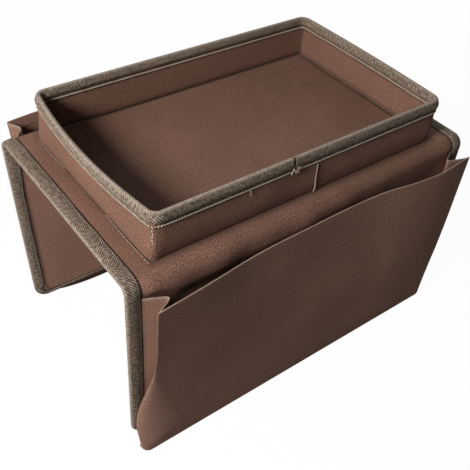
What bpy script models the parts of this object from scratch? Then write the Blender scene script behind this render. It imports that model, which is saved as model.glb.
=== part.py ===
"""Sofa armrest organizer.

A stiffened cloth saddle lies over a sofa's arm and carries a tray with upright walls. A flap hangs down
each side of the arm, with an expanding pocket sewn to its outer face. Lengths are in metres and angles in
radians. X runs along the arm, Y across it and Z is up. The origin is the middle of the face that lies on
the arm. The near side is -Y and the far side is +Y.
"""

import math
from collections import namedtuple

import bmesh
import bpy
from mathutils import Matrix, Vector

# Cloth, card and tape
CLOTH = 0.0005
BOARD = 0.0015
TAPE = 0.0006
GAP = 0.0003

# Saddle top and folds
TOP_LENGTH = 0.385
TOP_WIDTH = 0.2273
FOLD_RADIUS = 0.010
FOLD_AXIS_DEPTH = 0.005
FOLD_BOARD_CLEARANCE = 0.003
BOARD_INSET = 0.002

# Binding tape
EDGE_TAPE_LAP = 0.0125
BOTTOM_TAPE_INNER_LAP = 0.0045
RIM_TAPE_OUTER_LAP = 0.0135
RIM_TAPE_INNER_LAP = 0.0120
TAPE_CORNER = 0.0004
LINING_PRESS = 0.0001

# Flaps
FLAP_DROP = 0.193
FLAP_CORNER = 0.014
NEAR_LEAN = 0.0
FAR_LEAN = math.radians(7.5)

# Pockets. A mouth's corner and middle stand off the flap's outer face, and its drop is below the saddle's
# top. The draws pull the mouth's low and high ends in along X
POCKET_END_INSET = 0.0040
POCKET_SAG = 0.0171
POCKET_PROUD = 0.0145
NEAR_MOUTH_CORNER = 0.0186
NEAR_MOUTH_MIDDLE = 0.0077
NEAR_MOUTH_DROP = 0.0165
NEAR_MOUTH_FULLNESS = 1.5
NEAR_LOW_END_DRAW = 0.0120
NEAR_HIGH_END_DRAW = 0.0010
NEAR_PLEAT_LEG = 0.0190
FAR_MOUTH_CORNER = 0.0406
FAR_MOUTH_MIDDLE = 0.0513
FAR_MOUTH_DROP = 0.0070
FAR_MOUTH_FULLNESS = 0.7
FAR_LOW_END_DRAW = 0.0105
FAR_HIGH_END_DRAW = 0.0185
FAR_PLEAT_LEG = 0.0225
POCKET_HINGE_RISE = 0.003
POCKET_SEAM_OVERLAP = 0.005
LOW_CREASE_RADIUS = 0.0015
LOW_CREASE_FLAT = 0.0025
LOW_CORNER_LENGTH = 0.008
LOW_CORNER_RISE = 0.004
LOW_CORNER_CLEARANCE = 0.001
PLEAT_INSET = 0.0135
HEM_WIDTH = 0.009
HEM_END_CLEARANCE = 0.004

# Tray
TRAY_END_MARGIN = 0.0325
NEAR_STRIP = 0.0150
FAR_STRIP = 0.0123
TRAY_HEIGHT = 0.0465
TRAY_CORNER = 0.010
LEFT_WALL_BOW = 0.008
RIGHT_WALL_BOW = 0.002
TRAY_BOARD_TOP_CLEARANCE = 0.002
FLOOR_CLEARANCE = 0.001
WALL_SEAM_X = 0.004
RIM_SEAM_X = -0.020

# Facets
ARC_STEPS = 6
FOLD_STEPS = 10
BOW_STEPS = 16
WALL_STEPS = 5
POCKET_COLUMNS = 22
PANEL_ROWS = 10
PLEAT_ROWS = 12
PLEAT_COLUMNS = 8
BOTTOM_STEPS = 4
LOW_CORNER_STEPS = 3
CREASE_STEPS = 3
SMOOTH_ANGLE = math.radians(40)
AXIS_MARK = 0.03

# Worked out from the sizes above
TRAY_LENGTH = TOP_LENGTH - 2 * TRAY_END_MARGIN
TRAY_WIDTH = TOP_WIDTH - NEAR_STRIP - FAR_STRIP
TRAY_MIDDLE_Y = (NEAR_STRIP - FAR_STRIP) / 2
POCKET_LENGTH = TOP_LENGTH - 2 * POCKET_END_INSET
PANEL = 2 * CLOTH + 2 * GAP + BOARD
HALF_LENGTH = TOP_LENGTH / 2
SHEET_HALF_LENGTH = HALF_LENGTH - TAPE - GAP
TOP_Z = PANEL
TOP_MIDDLE_Z = TOP_Z - PANEL / 2
FOLD_START = TOP_WIDTH / 2 - FOLD_RADIUS
AXIS_Z = TOP_Z - FOLD_AXIS_DEPTH
FLAP_BOTTOM = FOLD_AXIS_DEPTH - FLAP_DROP
STANDING_Z = TOP_Z - FLAP_DROP - POCKET_SAG
TAPE_OFFSET = PANEL / 2 + GAP + TAPE / 2

# Each layer's two faces, as distances outwards from the outer face of the stack
LAYERS = {
    "cover": (-CLOTH, 0.0),
    "board": (-(CLOTH + GAP + BOARD), -(CLOTH + GAP)),
    "lining": (-PANEL, -(PANEL - CLOTH)),
}

COLOURS = {
    "cover": (0.085, 0.045, 0.032),
    "lining": (0.105, 0.056, 0.040),
    "pocket": (0.070, 0.038, 0.028),
    "tape": (0.135, 0.105, 0.078),
    "board": (0.32, 0.30, 0.27),
}

Side = namedtuple(
    "Side",
    "name turn lean mouth_corner mouth_middle mouth_drop mouth_fullness low_end_draw high_end_draw pleat_leg",
)
NEAR = Side(
    name="near",
    turn=0.0,
    lean=NEAR_LEAN,
    mouth_corner=NEAR_MOUTH_CORNER,
    mouth_middle=NEAR_MOUTH_MIDDLE,
    mouth_drop=NEAR_MOUTH_DROP,
    mouth_fullness=NEAR_MOUTH_FULLNESS,
    low_end_draw=NEAR_LOW_END_DRAW,
    high_end_draw=NEAR_HIGH_END_DRAW,
    pleat_leg=NEAR_PLEAT_LEG,
)
FAR = Side(
    name="far",
    turn=math.pi,
    lean=FAR_LEAN,
    mouth_corner=FAR_MOUTH_CORNER,
    mouth_middle=FAR_MOUTH_MIDDLE,
    mouth_drop=FAR_MOUTH_DROP,
    mouth_fullness=FAR_MOUTH_FULLNESS,
    low_end_draw=FAR_LOW_END_DRAW,
    high_end_draw=FAR_HIGH_END_DRAW,
    pleat_leg=FAR_PLEAT_LEG,
)
SIDES = (NEAR, FAR)


def clear_scene():
    for item in list(bpy.data.objects):
        bpy.data.objects.remove(item, do_unlink=True)


def plain_material(name, kind):
    material = bpy.data.materials.new(name)
    material.use_nodes = True
    shader = material.node_tree.nodes["Principled BSDF"]
    shader.inputs["Base Color"].default_value = (*COLOURS[kind], 1.0)
    shader.inputs["Roughness"].default_value = 0.9
    shader.inputs["Metallic"].default_value = 0.0
    return material


def add_object(name, mesh_tool, kind, parent=None, smooth=False):
    mesh = bpy.data.meshes.new(name)
    mesh_tool.to_mesh(mesh)
    mesh_tool.free()
    mesh.materials.append(plain_material(name, kind))
    if smooth:
        mesh.shade_smooth()
        mesh.set_sharp_from_angle(angle=SMOOTH_ANGLE)
    item = bpy.data.objects.new(name, mesh)
    bpy.context.collection.objects.link(item)
    item.parent = parent
    return item


def add_axis(name, matrix, parent=None):
    """An empty on a joint's axis, which runs along the empty's own X"""
    empty = bpy.data.objects.new(name, None)
    empty.empty_display_size = AXIS_MARK
    bpy.context.collection.objects.link(empty)
    empty.parent = parent
    empty.matrix_local = matrix
    return empty


def loft(name, rings, kind, parent=None, closed=False, smooth=False):
    """A solid through successive outlines of equal length, capped unless it closes on itself"""
    tool = bmesh.new()
    loops = [[tool.verts.new(point) for point in ring] for ring in rings]
    pairs = list(zip(loops, loops[1:]))
    if closed:
        pairs.append((loops[-1], loops[0]))
    count = len(rings[0])
    for first, second in pairs:
        for index in range(count):
            after = (index + 1) % count
            tool.faces.new((first[index], first[after], second[after], second[index]))
    if not closed:
        tool.faces.new(loops[0])
        tool.faces.new(loops[-1][::-1])
    bmesh.ops.recalc_face_normals(tool, faces=tool.faces[:])
    return add_object(name, tool, kind, parent, smooth)


def cloth_sheet(name, rows, kind, parent=None):
    """A sheet of cloth through a grid of points on its middle surface"""
    tool = bmesh.new()
    grid = [[tool.verts.new(point) for point in row] for row in rows]
    for low, high in zip(grid, grid[1:]):
        for index in range(len(low) - 1):
            tool.faces.new((low[index], low[index + 1], high[index + 1], high[index]))
    bmesh.ops.recalc_face_normals(tool, faces=tool.faces[:])
    item = add_object(name, tool, kind, parent, smooth=True)
    skin = item.modifiers.new("cloth thickness", "SOLIDIFY")
    skin.thickness = CLOTH
    skin.offset = 0.0
    skin.use_even_offset = True
    return item


def steps(low, high, count):
    return [low + (high - low) * index / count for index in range(count + 1)]


def blend(low, high, share):
    return low + (high - low) * share


def thicken(line, thickness):
    """Closed outline of a strip of even thickness whose middle follows a 2D line"""
    left, right = [], []
    last = len(line) - 1
    for index, point in enumerate(line):
        arriving = (point - line[index - 1]).normalized() if index > 0 else None
        leaving = (line[index + 1] - point).normalized() if index < last else None
        arriving = leaving if arriving is None else arriving
        leaving = arriving if leaving is None else leaving
        along = (arriving + leaving).normalized()
        across = Vector((-along.y, along.x))
        square = Vector((-arriving.y, arriving.x))
        reach = thickness / 2 / across.dot(square)
        left.append(point + across * reach)
        right.append(point - across * reach)
    return left + right[::-1]


def tape_outline(outer_lap, inner_lap):
    """Folded tape's section as (depth in from its outer edge, height off the stack's middle)"""
    edge = TAPE / 2
    line = [
        Vector((outer_lap, TAPE_OFFSET)),
        Vector((edge + TAPE_CORNER, TAPE_OFFSET)),
        Vector((edge, TAPE_OFFSET - TAPE_CORNER)),
        Vector((edge, TAPE_CORNER - TAPE_OFFSET)),
        Vector((edge + TAPE_CORNER, -TAPE_OFFSET)),
        Vector((inner_lap, -TAPE_OFFSET)),
    ]
    return thicken(line, TAPE)


def tape_ring(edge, inwards, outwards, outer_lap=EDGE_TAPE_LAP, inner_lap=EDGE_TAPE_LAP):
    """The tape's section at one place on a panel's edge"""
    outline = tape_outline(outer_lap, inner_lap)
    return [edge + inwards * point.x + outwards * point.y for point in outline]


def turned(side, points):
    """Points made for the near side, moved to the given side"""
    turn = Matrix.Rotation(side.turn, 3, "Z")
    return [turn @ point for point in points]


def end_name(side, end):
    """Left is -X as the organizer stands, whichever side the piece is on"""
    return "left" if end * math.cos(side.turn) < 0 else "right"


# Saddle top


def top_outline(layer):
    """A layer's section across X, as (x, level). Under the tape the lining is pressed thinner"""
    low, high = LAYERS[layer]
    half_x = SHEET_HALF_LENGTH - (BOARD_INSET if layer == "board" else 0.0)
    outline = [(half_x, high), (-half_x, high)]
    if layer != "lining":
        return outline + [(-half_x, low), (half_x, low)]
    pressed = low + LINING_PRESS
    field = HALF_LENGTH - EDGE_TAPE_LAP - GAP
    outline += [(-half_x, pressed), (-field, pressed), (-field, low)]
    return outline + [(field, low), (field, pressed), (half_x, pressed)]


def build_top():
    reach = FOLD_START - GAP / 2
    for layer in LAYERS:
        half_y = FOLD_START - FOLD_BOARD_CLEARANCE if layer == "board" else reach
        outline = top_outline(layer)
        rings = [[Vector((x, y, TOP_Z + level)) for x, level in outline] for y in (-half_y, half_y)]
        loft("top_" + layer, rings, layer)
    for end, name in ((-1, "left"), (1, "right")):
        rings = []
        for y in (-reach, reach):
            edge = Vector((end * HALF_LENGTH, y, TOP_MIDDLE_Z))
            rings.append(tape_ring(edge, Vector((-end, 0, 0)), Vector((0, 0, 1))))
        loft("top_" + name + "_tape", rings, "tape")


# Folds between the top and the flaps


def fold_angles(side):
    margin = GAP / 2 / FOLD_RADIUS
    return steps(margin, math.pi / 2 + side.lean - margin, FOLD_STEPS)


def fold_point(x, radius, angle):
    out = FOLD_START + radius * math.sin(angle)
    return Vector((x, -out, TOP_Z - FOLD_RADIUS + radius * math.cos(angle)))


def build_folds(side):
    for layer in ("cover", "lining"):
        low, high = (FOLD_RADIUS + level for level in LAYERS[layer])
        rings = []
        for angle in fold_angles(side):
            corners = ((-1, low), (1, low), (1, high), (-1, high))
            ring = [fold_point(end * SHEET_HALF_LENGTH, radius, angle) for end, radius in corners]
            rings.append(turned(side, ring))
        loft(side.name + "_fold_" + layer, rings, layer, smooth=True)
    for end in (-1, 1):
        rings = []
        for angle in fold_angles(side):
            edge = fold_point(end * HALF_LENGTH, FOLD_RADIUS - PANEL / 2, angle)
            outwards = Vector((0, -math.sin(angle), math.cos(angle)))
            rings.append(turned(side, tape_ring(edge, Vector((-end, 0, 0)), outwards)))
        loft(side.name + "_fold_" + end_name(side, end) + "_tape", rings, "tape", smooth=True)


# Flaps, in the frame of their fold's axis: X along it, -Y outwards, Z up the flap


def axis_reach(side):
    """From a fold's axis to where the straight cloth starts, along the top or down the flap"""
    return (FOLD_RADIUS - FOLD_AXIS_DEPTH) * math.tan((math.pi / 2 + side.lean) / 2)


def flap_point(x, out, up):
    return Vector((x, -out, up))


def flap_frame(side):
    place = Matrix.Translation((0, -(FOLD_START + axis_reach(side)), AXIS_Z))
    return Matrix.Rotation(side.turn, 4, "Z") @ place @ Matrix.Rotation(side.lean, 4, "X")


def flap_edge(side, inset):
    """The flap's edge from top left round the bottom to top right, with the direction into the flap"""
    half = HALF_LENGTH - inset
    bottom = FLAP_BOTTOM + inset
    radius = FLAP_CORNER - inset
    places = [(Vector((-half, -axis_reach(side) - GAP / 2)), Vector((1, 0)))]
    for end, start in ((-1, math.pi), (1, 1.5 * math.pi)):
        centre = Vector((end * (half - radius), bottom + radius))
        for angle in steps(start, start + math.pi / 2, ARC_STEPS):
            outwards = Vector((math.cos(angle), math.sin(angle)))
            places.append((centre + outwards * radius, -outwards))
    places.append((Vector((half, -axis_reach(side) - GAP / 2)), Vector((-1, 0))))
    return places


def inner_tape_lap(inwards):
    """The tape folds less far over the flap's inner face along its bottom than up its ends"""
    return blend(EDGE_TAPE_LAP, BOTTOM_TAPE_INNER_LAP, abs(inwards.y))


def drawn_down(outline, distance):
    """A flap's outline with its top edge lowered"""
    lowered = [place.copy() for place in outline]
    lowered[0].y -= distance
    lowered[-1].y -= distance
    return lowered


def build_flap(side, axis):
    for layer, (low, high) in LAYERS.items():
        inset = TAPE + GAP + (BOARD_INSET if layer == "board" else 0.0)
        outline = [place for place, inwards in flap_edge(side, inset)]
        if layer == "board":
            outline = drawn_down(outline, FOLD_BOARD_CLEARANCE)
        levels = [(outline, high), (outline, low)]
        if layer == "lining":
            pressed = low + LINING_PRESS
            bare = [p + i * (inner_tape_lap(i) + GAP) for p, i in flap_edge(side, 0.0)]
            bare = drawn_down(bare, GAP)
            levels = [(outline, high), (outline, pressed), (bare, pressed), (bare, low)]
        rings = []
        for places, level in levels:
            rings.append([flap_point(p.x, FOLD_AXIS_DEPTH + level, p.y) for p in places])
        loft(side.name + "_flap_" + layer, rings, layer, axis)
    rings = []
    for place, inwards in flap_edge(side, 0.0):
        edge = flap_point(place.x, FOLD_AXIS_DEPTH - PANEL / 2, place.y)
        into_flap = flap_point(inwards.x, 0, inwards.y)
        lap = inner_tape_lap(inwards)
        rings.append(tape_ring(edge, into_flap, Vector((0, -1, 0)), EDGE_TAPE_LAP, lap))
    loft(side.name + "_flap_tape", rings, "tape", axis, smooth=True)


# Pockets, in the flap's frame


POCKET_BACK = FOLD_AXIS_DEPTH + GAP + TAPE + GAP + CLOTH / 2
PLEAT_BACK = FOLD_AXIS_DEPTH + GAP + CLOTH / 2
POCKET_FRONT = FOLD_AXIS_DEPTH + POCKET_PROUD
CREASE_TOE = POCKET_FRONT - LOW_CREASE_RADIUS
CREASE_HEEL = CREASE_TOE - LOW_CREASE_FLAT
HINGE_UP = FOLD_AXIS_DEPTH - FLAP_DROP - POCKET_SAG + POCKET_HINGE_RISE
PLEAT_BACK_X = HALF_LENGTH - PLEAT_INSET


def mouth_up(side):
    return FOLD_AXIS_DEPTH - side.mouth_drop


def pocket_stations():
    """Places along a pocket as (across, rise): across runs from -1 to 1 along X, and rise from 0 to 1 as
    the low edge climbs round its rounded corners"""
    reach = LOW_CORNER_LENGTH / (POCKET_LENGTH / 2)
    corner = []
    for angle in steps(0, math.pi / 2, LOW_CORNER_STEPS):
        corner.append((1 - reach * (1 - math.sin(angle)), 1 - math.cos(angle)))
    middle = [(across, 0.0) for across in steps(reach - 1, 1 - reach, POCKET_COLUMNS)]
    low_end = [(-across, rise) for across, rise in reversed(corner[1:])]
    return low_end + middle + corner[1:]


def panel_end(side, end, share):
    """Where the front panel's end lies along X, from its bottom (0) to the mouth (1)"""
    draw = side.low_end_draw if end < 0 else side.high_end_draw
    return end * (POCKET_LENGTH / 2 - draw * share * share * (3 - 2 * share))


def panel_out(side, across, share):
    """How far out the front panel lies"""
    towards_middle = max(0.0, math.cos(across * math.pi / 2)) ** side.mouth_fullness
    mouth = blend(side.mouth_corner, side.mouth_middle, towards_middle)
    return blend(POCKET_FRONT, FOLD_AXIS_DEPTH + mouth, share)


def panel_point(side, across, rise, share, behind=0.0):
    low, high = panel_end(side, -1, share), panel_end(side, 1, share)
    x = blend(low, high, (across + 1) / 2)
    low_up = HINGE_UP + GAP + rise * (LOW_CORNER_RISE + LOW_CORNER_CLEARANCE)
    up = blend(low_up, mouth_up(side), share)
    return flap_point(x, panel_out(side, across, share) - behind, up)


def build_panel(side, axis):
    """The pocket's front and the hem turned in behind its mouth, on the panel's own axis"""
    shift = flap_point(0, POCKET_FRONT, HINGE_UP)
    hinge = add_axis(side.name + "_pocket_axis", Matrix.Translation(shift), axis)
    rows = []
    for share in steps(0, 1, PANEL_ROWS):
        rows.append([panel_point(side, *place, share) - shift for place in pocket_stations()])
    cloth_sheet(side.name + "_pocket_front", rows, "pocket", hinge)
    height = mouth_up(side) - HINGE_UP
    reach = 1 - HEM_END_CLEARANCE / (POCKET_LENGTH / 2)
    rows = []
    for share in (1 - HEM_WIDTH / height, 1):
        row = []
        for across in steps(-reach, reach, POCKET_COLUMNS):
            row.append(panel_point(side, across, 0.0, share, CLOTH + GAP) - shift)
        rows.append(row)
    cloth_sheet(side.name + "_pocket_hem", rows, "pocket", hinge)


def floor_up(side, out):
    """Height in the flap's frame of the cloth's middle where it lies on the floor"""
    drop = STANDING_Z + CLOTH / 2 - AXIS_Z + out * math.sin(side.lean)
    return drop / math.cos(side.lean)


def bottom_share(out):
    """How far out a place lies between the flap and the pocket's low crease, from 0 to 1"""
    return min(1.0, (out - POCKET_BACK) / (CREASE_HEEL - POCKET_BACK))


def bottom_up(side, out):
    """Height of the pocket's bottom, which slants from the flap's bottom edge to its low crease"""
    return blend(FLAP_BOTTOM, floor_up(side, max(out, CREASE_HEEL)), bottom_share(out))


def bottom_half_length(out):
    """Half the bottom's length, which stops just short of the pleats beside it"""
    back = PLEAT_BACK_X - GAP - CLOTH / 2
    return blend(back, POCKET_LENGTH / 2, (out - POCKET_BACK) / (POCKET_FRONT - POCKET_BACK))


def build_bottom(side, axis):
    """The pocket's bottom: cloth that slants out and down from the flap and turns up into the front"""
    profile = [(POCKET_BACK, FLAP_BOTTOM + POCKET_SEAM_OVERLAP)]
    for out in steps(POCKET_BACK, CREASE_HEEL, BOTTOM_STEPS):
        profile.append((out, bottom_up(side, out)))
    for angle in steps(0, math.pi / 2, CREASE_STEPS):
        out = CREASE_TOE + LOW_CREASE_RADIUS * math.sin(angle)
        lift = LOW_CREASE_RADIUS * (1 - math.cos(angle))
        profile.append((out, floor_up(side, CREASE_TOE) + lift))
    profile.append((POCKET_FRONT, HINGE_UP))
    rows = []
    for out, up in profile:
        half = bottom_half_length(out)
        row = []
        for across, rise in pocket_stations():
            row.append(flap_point(half * across, out, up + rise * LOW_CORNER_RISE * bottom_share(out)))
        rows.append(row)
    cloth_sheet(side.name + "_pocket_bottom", rows, "pocket", axis)


def pleat_crease(side, end, back, front, share):
    """Where the crease lies between a pleat's two edges, so that its legs together keep their cut length"""
    half = (front - back) / 2
    flat_leg = (POCKET_FRONT - POCKET_BACK) / 2
    leg = blend(flat_leg, side.pleat_leg, 1 - (1 - share) ** 2)
    spare = max(0.0, leg**2 - half.length_squared)
    depth = math.sqrt(spare / (1 - (half.x / leg) ** 2))
    return back + half - Vector((end * depth, 0))


def build_pleats(side, axis):
    """The pleated ends of the pocket, creased inwards near the mouth and flat near the bottom"""
    top = mouth_up(side)
    panel_low = HINGE_UP + GAP + LOW_CORNER_RISE + LOW_CORNER_CLEARANCE
    low_front = POCKET_FRONT - CLOTH - GAP
    tape_top = FLAP_BOTTOM + max(EDGE_TAPE_LAP, FLAP_CORNER)

    def low_up(out):
        return bottom_up(side, out) + LOW_CORNER_RISE * bottom_share(out) + CLOTH + 2 * GAP

    row_height = (top - low_up(POCKET_BACK)) / PLEAT_ROWS
    for end in (-1, 1):
        rows = []
        for share in steps(0, 1, PLEAT_ROWS):
            back_up = blend(low_up(POCKET_BACK), top, share)
            over_tape = back_up < tape_top + row_height
            back = Vector((end * PLEAT_BACK_X, POCKET_BACK if over_tape else PLEAT_BACK))
            front_up = blend(low_up(low_front), top, share)
            panel_share = max(0.0, (front_up - panel_low) / (top - panel_low))
            corner_out = panel_out(side, end, panel_share) - CLOTH - GAP
            front = Vector((panel_end(side, end, panel_share) - end * CLOTH / 2, corner_out))
            crease = pleat_crease(side, end, back, front, share)
            row = []
            for part in steps(0, 2, PLEAT_COLUMNS):
                place = blend(back, crease, part) if part <= 1 else blend(crease, front, part - 1)
                up = blend(low_up(blend(POCKET_BACK, low_front, part / 2)), top, share)
                row.append(flap_point(place.x, place.y, up))
            rows.append(row)
        cloth_sheet(side.name + "_pocket_" + end_name(side, end) + "_pleat", rows, "pocket", axis)


# Tray

Station = namedtuple("Station", "base normal sway")
WALL_HALF_X = TRAY_LENGTH / 2 - PANEL / 2
WALL_HALF_Y = TRAY_WIDTH / 2 - PANEL / 2
WALL_RADIUS = TRAY_CORNER - PANEL / 2
STRAIGHT_X = WALL_HALF_X - WALL_RADIUS
STRAIGHT_Y = WALL_HALF_Y - WALL_RADIUS


def end_station(end, y):
    """A place on a short wall's middle, whose rim bows outwards between the corners"""
    bow = LEFT_WALL_BOW if end < 0 else RIGHT_WALL_BOW
    sway = bow * (1 - (y / STRAIGHT_Y) ** 2)
    return Station(Vector((end * WALL_HALF_X, y)), Vector((end, 0)), Vector((end * sway, 0)))


def side_station(side, x):
    return Station(Vector((x, side * WALL_HALF_Y)), Vector((0, side)), Vector((0, 0)))


def corner_stations(end, side, start):
    centre = Vector((end * STRAIGHT_X, side * STRAIGHT_Y))
    found = []
    for angle in steps(start, start + math.pi / 2, ARC_STEPS):
        normal = Vector((math.cos(angle), math.sin(angle)))
        found.append(Station(centre + normal * WALL_RADIUS, normal, Vector((0, 0))))
    return found


def tray_loop(start_x, opening):
    """Places round the tray's wall, from just right of start_x on the near wall and back to it"""
    inner_y = steps(-STRAIGHT_Y, STRAIGHT_Y, BOW_STEPS)[1:-1]
    loop = [side_station(-1, start_x + opening / 2)]
    loop += corner_stations(1, -1, -math.pi / 2)
    loop += [end_station(1, y) for y in inner_y]
    loop += corner_stations(1, 1, 0.0)
    loop += corner_stations(-1, 1, math.pi / 2)
    loop += [end_station(-1, y) for y in reversed(inner_y)]
    loop += corner_stations(-1, -1, math.pi)
    loop.append(side_station(-1, start_x - opening / 2))
    return loop


def wall_point(station, offset, height):
    place = station.base + station.normal * offset + station.sway * (height / TRAY_HEIGHT)
    return Vector((place.x, place.y + TRAY_MIDDLE_Y, TOP_Z + height))


def wall_ring(station, layer, low, high):
    inner, outer = (PANEL / 2 + level for level in LAYERS[layer])
    heights = steps(low, high, WALL_STEPS)
    ring = [wall_point(station, outer, height) for height in heights]
    return ring + [wall_point(station, inner, height) for height in reversed(heights)]


def rim_ring(station):
    crest = wall_point(station, 0, TRAY_HEIGHT)
    down = (wall_point(station, 0, 0) - crest).normalized()
    outwards = Vector((station.normal.x, station.normal.y, 0))
    outwards = (outwards - down * outwards.dot(down)).normalized()
    return tape_ring(crest, down, outwards, RIM_TAPE_OUTER_LAP, RIM_TAPE_INNER_LAP)


def build_tray_walls():
    sheet_top = TRAY_HEIGHT - TAPE - GAP
    rings = [wall_ring(s, "cover", GAP, sheet_top) for s in tray_loop(WALL_SEAM_X, GAP)]
    loft("tray_wall_cover", rings, "cover", smooth=True)
    rings = [wall_ring(s, "lining", GAP, sheet_top) for s in tray_loop(WALL_SEAM_X, 0.0)[:-1]]
    loft("tray_wall_lining", rings, "lining", closed=True, smooth=True)
    rings = [rim_ring(station) for station in tray_loop(RIM_SEAM_X, GAP)]
    loft("tray_rim_tape", rings, "tape", smooth=True)
    low, high = GAP + BOARD_INSET, sheet_top - TRAY_BOARD_TOP_CLEARANCE
    reach_x, reach_y = STRAIGHT_X - BOARD_INSET, STRAIGHT_Y - BOARD_INSET
    walls = {
        "near": [side_station(-1, x) for x in (-reach_x, reach_x)],
        "right": [end_station(1, y) for y in steps(-reach_y, reach_y, BOW_STEPS)],
        "far": [side_station(1, x) for x in (reach_x, -reach_x)],
        "left": [end_station(-1, y) for y in steps(reach_y, -reach_y, BOW_STEPS)],
    }
    for name, stations in walls.items():
        rings = [wall_ring(station, "board", low, high) for station in stations]
        loft("tray_" + name + "_board", rings, "board")


def rounded_plan(half_x, half_y, radius, z):
    points = []
    for quarter, (end, side) in enumerate(((1, 1), (-1, 1), (-1, -1), (1, -1))):
        centre = Vector((end * (half_x - radius), side * (half_y - radius) + TRAY_MIDDLE_Y, z))
        for angle in steps(quarter * math.pi / 2, (quarter + 1) * math.pi / 2, ARC_STEPS):
            points.append(centre + Vector((math.cos(angle), math.sin(angle), 0)) * radius)
    return points


def build_tray_floor():
    """The tray's base: a card under a cloth whose edges turn down round it"""
    half_x = TRAY_LENGTH / 2 - PANEL - FLOOR_CLEARANCE
    half_y = TRAY_WIDTH / 2 - PANEL - FLOOR_CLEARANCE
    radius = TRAY_CORNER - PANEL - FLOOR_CLEARANCE
    base = TOP_Z + GAP
    card_top = base + BOARD
    inset = CLOTH + GAP
    card = (half_x - inset, half_y - inset, radius - inset)
    loft("tray_floor_board", [rounded_plan(*card, z) for z in (base, card_top)], "board")
    inside = (half_x - CLOTH, half_y - CLOTH, radius - CLOTH)
    outside = (half_x, half_y, radius)
    rings = [
        rounded_plan(*inside, card_top + GAP),
        rounded_plan(*inside, base),
        rounded_plan(*outside, base),
        rounded_plan(*outside, card_top + GAP + CLOTH),
    ]
    loft("tray_floor_cover", rings, "lining")


def build_organizer():
    clear_scene()
    build_top()
    build_tray_walls()
    build_tray_floor()
    for side in SIDES:
        build_folds(side)
        axis = add_axis(side.name + "_flap_axis", flap_frame(side))
        build_flap(side, axis)
        build_panel(side, axis)
        build_bottom(side, axis)
        build_pleats(side, axis)


build_organizer()
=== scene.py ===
"""Looks of the sofa armrest organizer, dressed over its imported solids.

Lengths are in metres. X runs along the arm, Y across it and Z is up. The near side is -Y. Every cloth piece is
a closed sheet made from a grid of points on its outer face, and its UV map is the cut cloth in metres.
"""

import math
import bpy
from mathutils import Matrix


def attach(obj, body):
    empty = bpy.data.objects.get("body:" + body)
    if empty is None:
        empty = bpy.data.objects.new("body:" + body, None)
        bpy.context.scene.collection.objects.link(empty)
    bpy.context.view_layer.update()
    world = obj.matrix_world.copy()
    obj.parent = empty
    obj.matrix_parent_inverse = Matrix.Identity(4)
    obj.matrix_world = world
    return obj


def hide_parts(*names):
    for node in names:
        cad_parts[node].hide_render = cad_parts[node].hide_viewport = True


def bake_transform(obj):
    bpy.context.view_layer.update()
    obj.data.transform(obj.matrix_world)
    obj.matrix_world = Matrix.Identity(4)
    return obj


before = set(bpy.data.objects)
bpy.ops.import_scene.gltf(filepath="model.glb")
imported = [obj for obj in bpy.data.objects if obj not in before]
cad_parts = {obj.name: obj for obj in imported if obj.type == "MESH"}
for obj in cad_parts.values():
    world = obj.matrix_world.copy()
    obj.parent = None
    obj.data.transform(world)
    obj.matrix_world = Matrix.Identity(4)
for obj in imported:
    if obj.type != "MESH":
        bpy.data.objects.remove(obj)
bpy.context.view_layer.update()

from types import SimpleNamespace

import bmesh
import bpy
import numpy as np
from mathutils import Matrix, Vector

# Sizes shared with the solids
CLOTH = 0.0005
BOARD = 0.0015
TAPE = 0.0006
GAP = 0.0003
TOP_LENGTH = 0.385
TOP_WIDTH = 0.2273
FOLD_RADIUS = 0.010
FOLD_AXIS_DEPTH = 0.005
EDGE_TAPE_LAP = 0.0125
FLAP_TAPE_INNER_LAP = 0.0098
BOTTOM_TAPE_INNER_LAP = 0.0045
RIM_TAPE_OUTER_LAP = 0.0135
RIM_TAPE_INNER_LAP = 0.0120
FLAP_DROP = 0.193
FLAP_CORNER = 0.014
NEAR_LEAN = 0.0
FAR_LEAN = math.radians(7.5)
POCKET_END_INSET = 0.0040
POCKET_SAG = 0.0171
POCKET_PROUD = 0.0145
POCKET_HINGE_RISE = 0.003
POCKET_SEAM_OVERLAP = 0.005
LOW_CREASE_RADIUS = 0.0015
LOW_CREASE_FLAT = 0.0025
PLEAT_INSET = 0.0135
HEM_WIDTH = 0.009
TRAY_END_MARGIN = 0.0325
NEAR_STRIP = 0.0150
FAR_STRIP = 0.0123
TRAY_HEIGHT = 0.0465
TRAY_CORNER = 0.010
LEFT_WALL_BOW = 0.008
RIGHT_WALL_BOW = 0.002
FLOOR_CLEARANCE = 0.001
RIM_SEAM_X = -0.0225
WALL_SEAM_X = 0.004

# Sizes of the sewing
SEAM_BEFORE_FOLD = 0.012
HIDDEN_EDGE = 0.0030
TAPE_CREASE = 0.0016
BEAD_PITCH = 0.0026
BEAD_LENGTH = 0.0023
BEAD_RADIUS = 0.00072
BEAD_TURN = math.radians(32)
BORDER_BEAD = 0.0007
BORDER_SEAM = 0.0006
CORNER_RIDGE = 0.0016
RIM_JOINT = 0.0026
WALL_FLARE = 0.0026
RIM_CLEARANCE = 0.002
SEAM_SIZES = {"Pitch": 0.0034, "Length": 0.0036, "Thread_radius": 0.00085, "Unevenness": 0.1}
CORD_SIZES = {"Pitch": 0.0020, "Length": 0.0034, "Thread_radius": 0.00055, "Unevenness": 0.1, "Turn": 0.2}
KNOT_SIZES = {"Pitch": 0.0029, "Length": 0.0026, "Thread_radius": 0.00080, "Unevenness": 1.4, "Turn": 0.5}
BASE_SIZES = {"Pitch": 0.0042, "Length": 0.0044, "Thread_radius": 0.00032, "Unevenness": 0.05}

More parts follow.
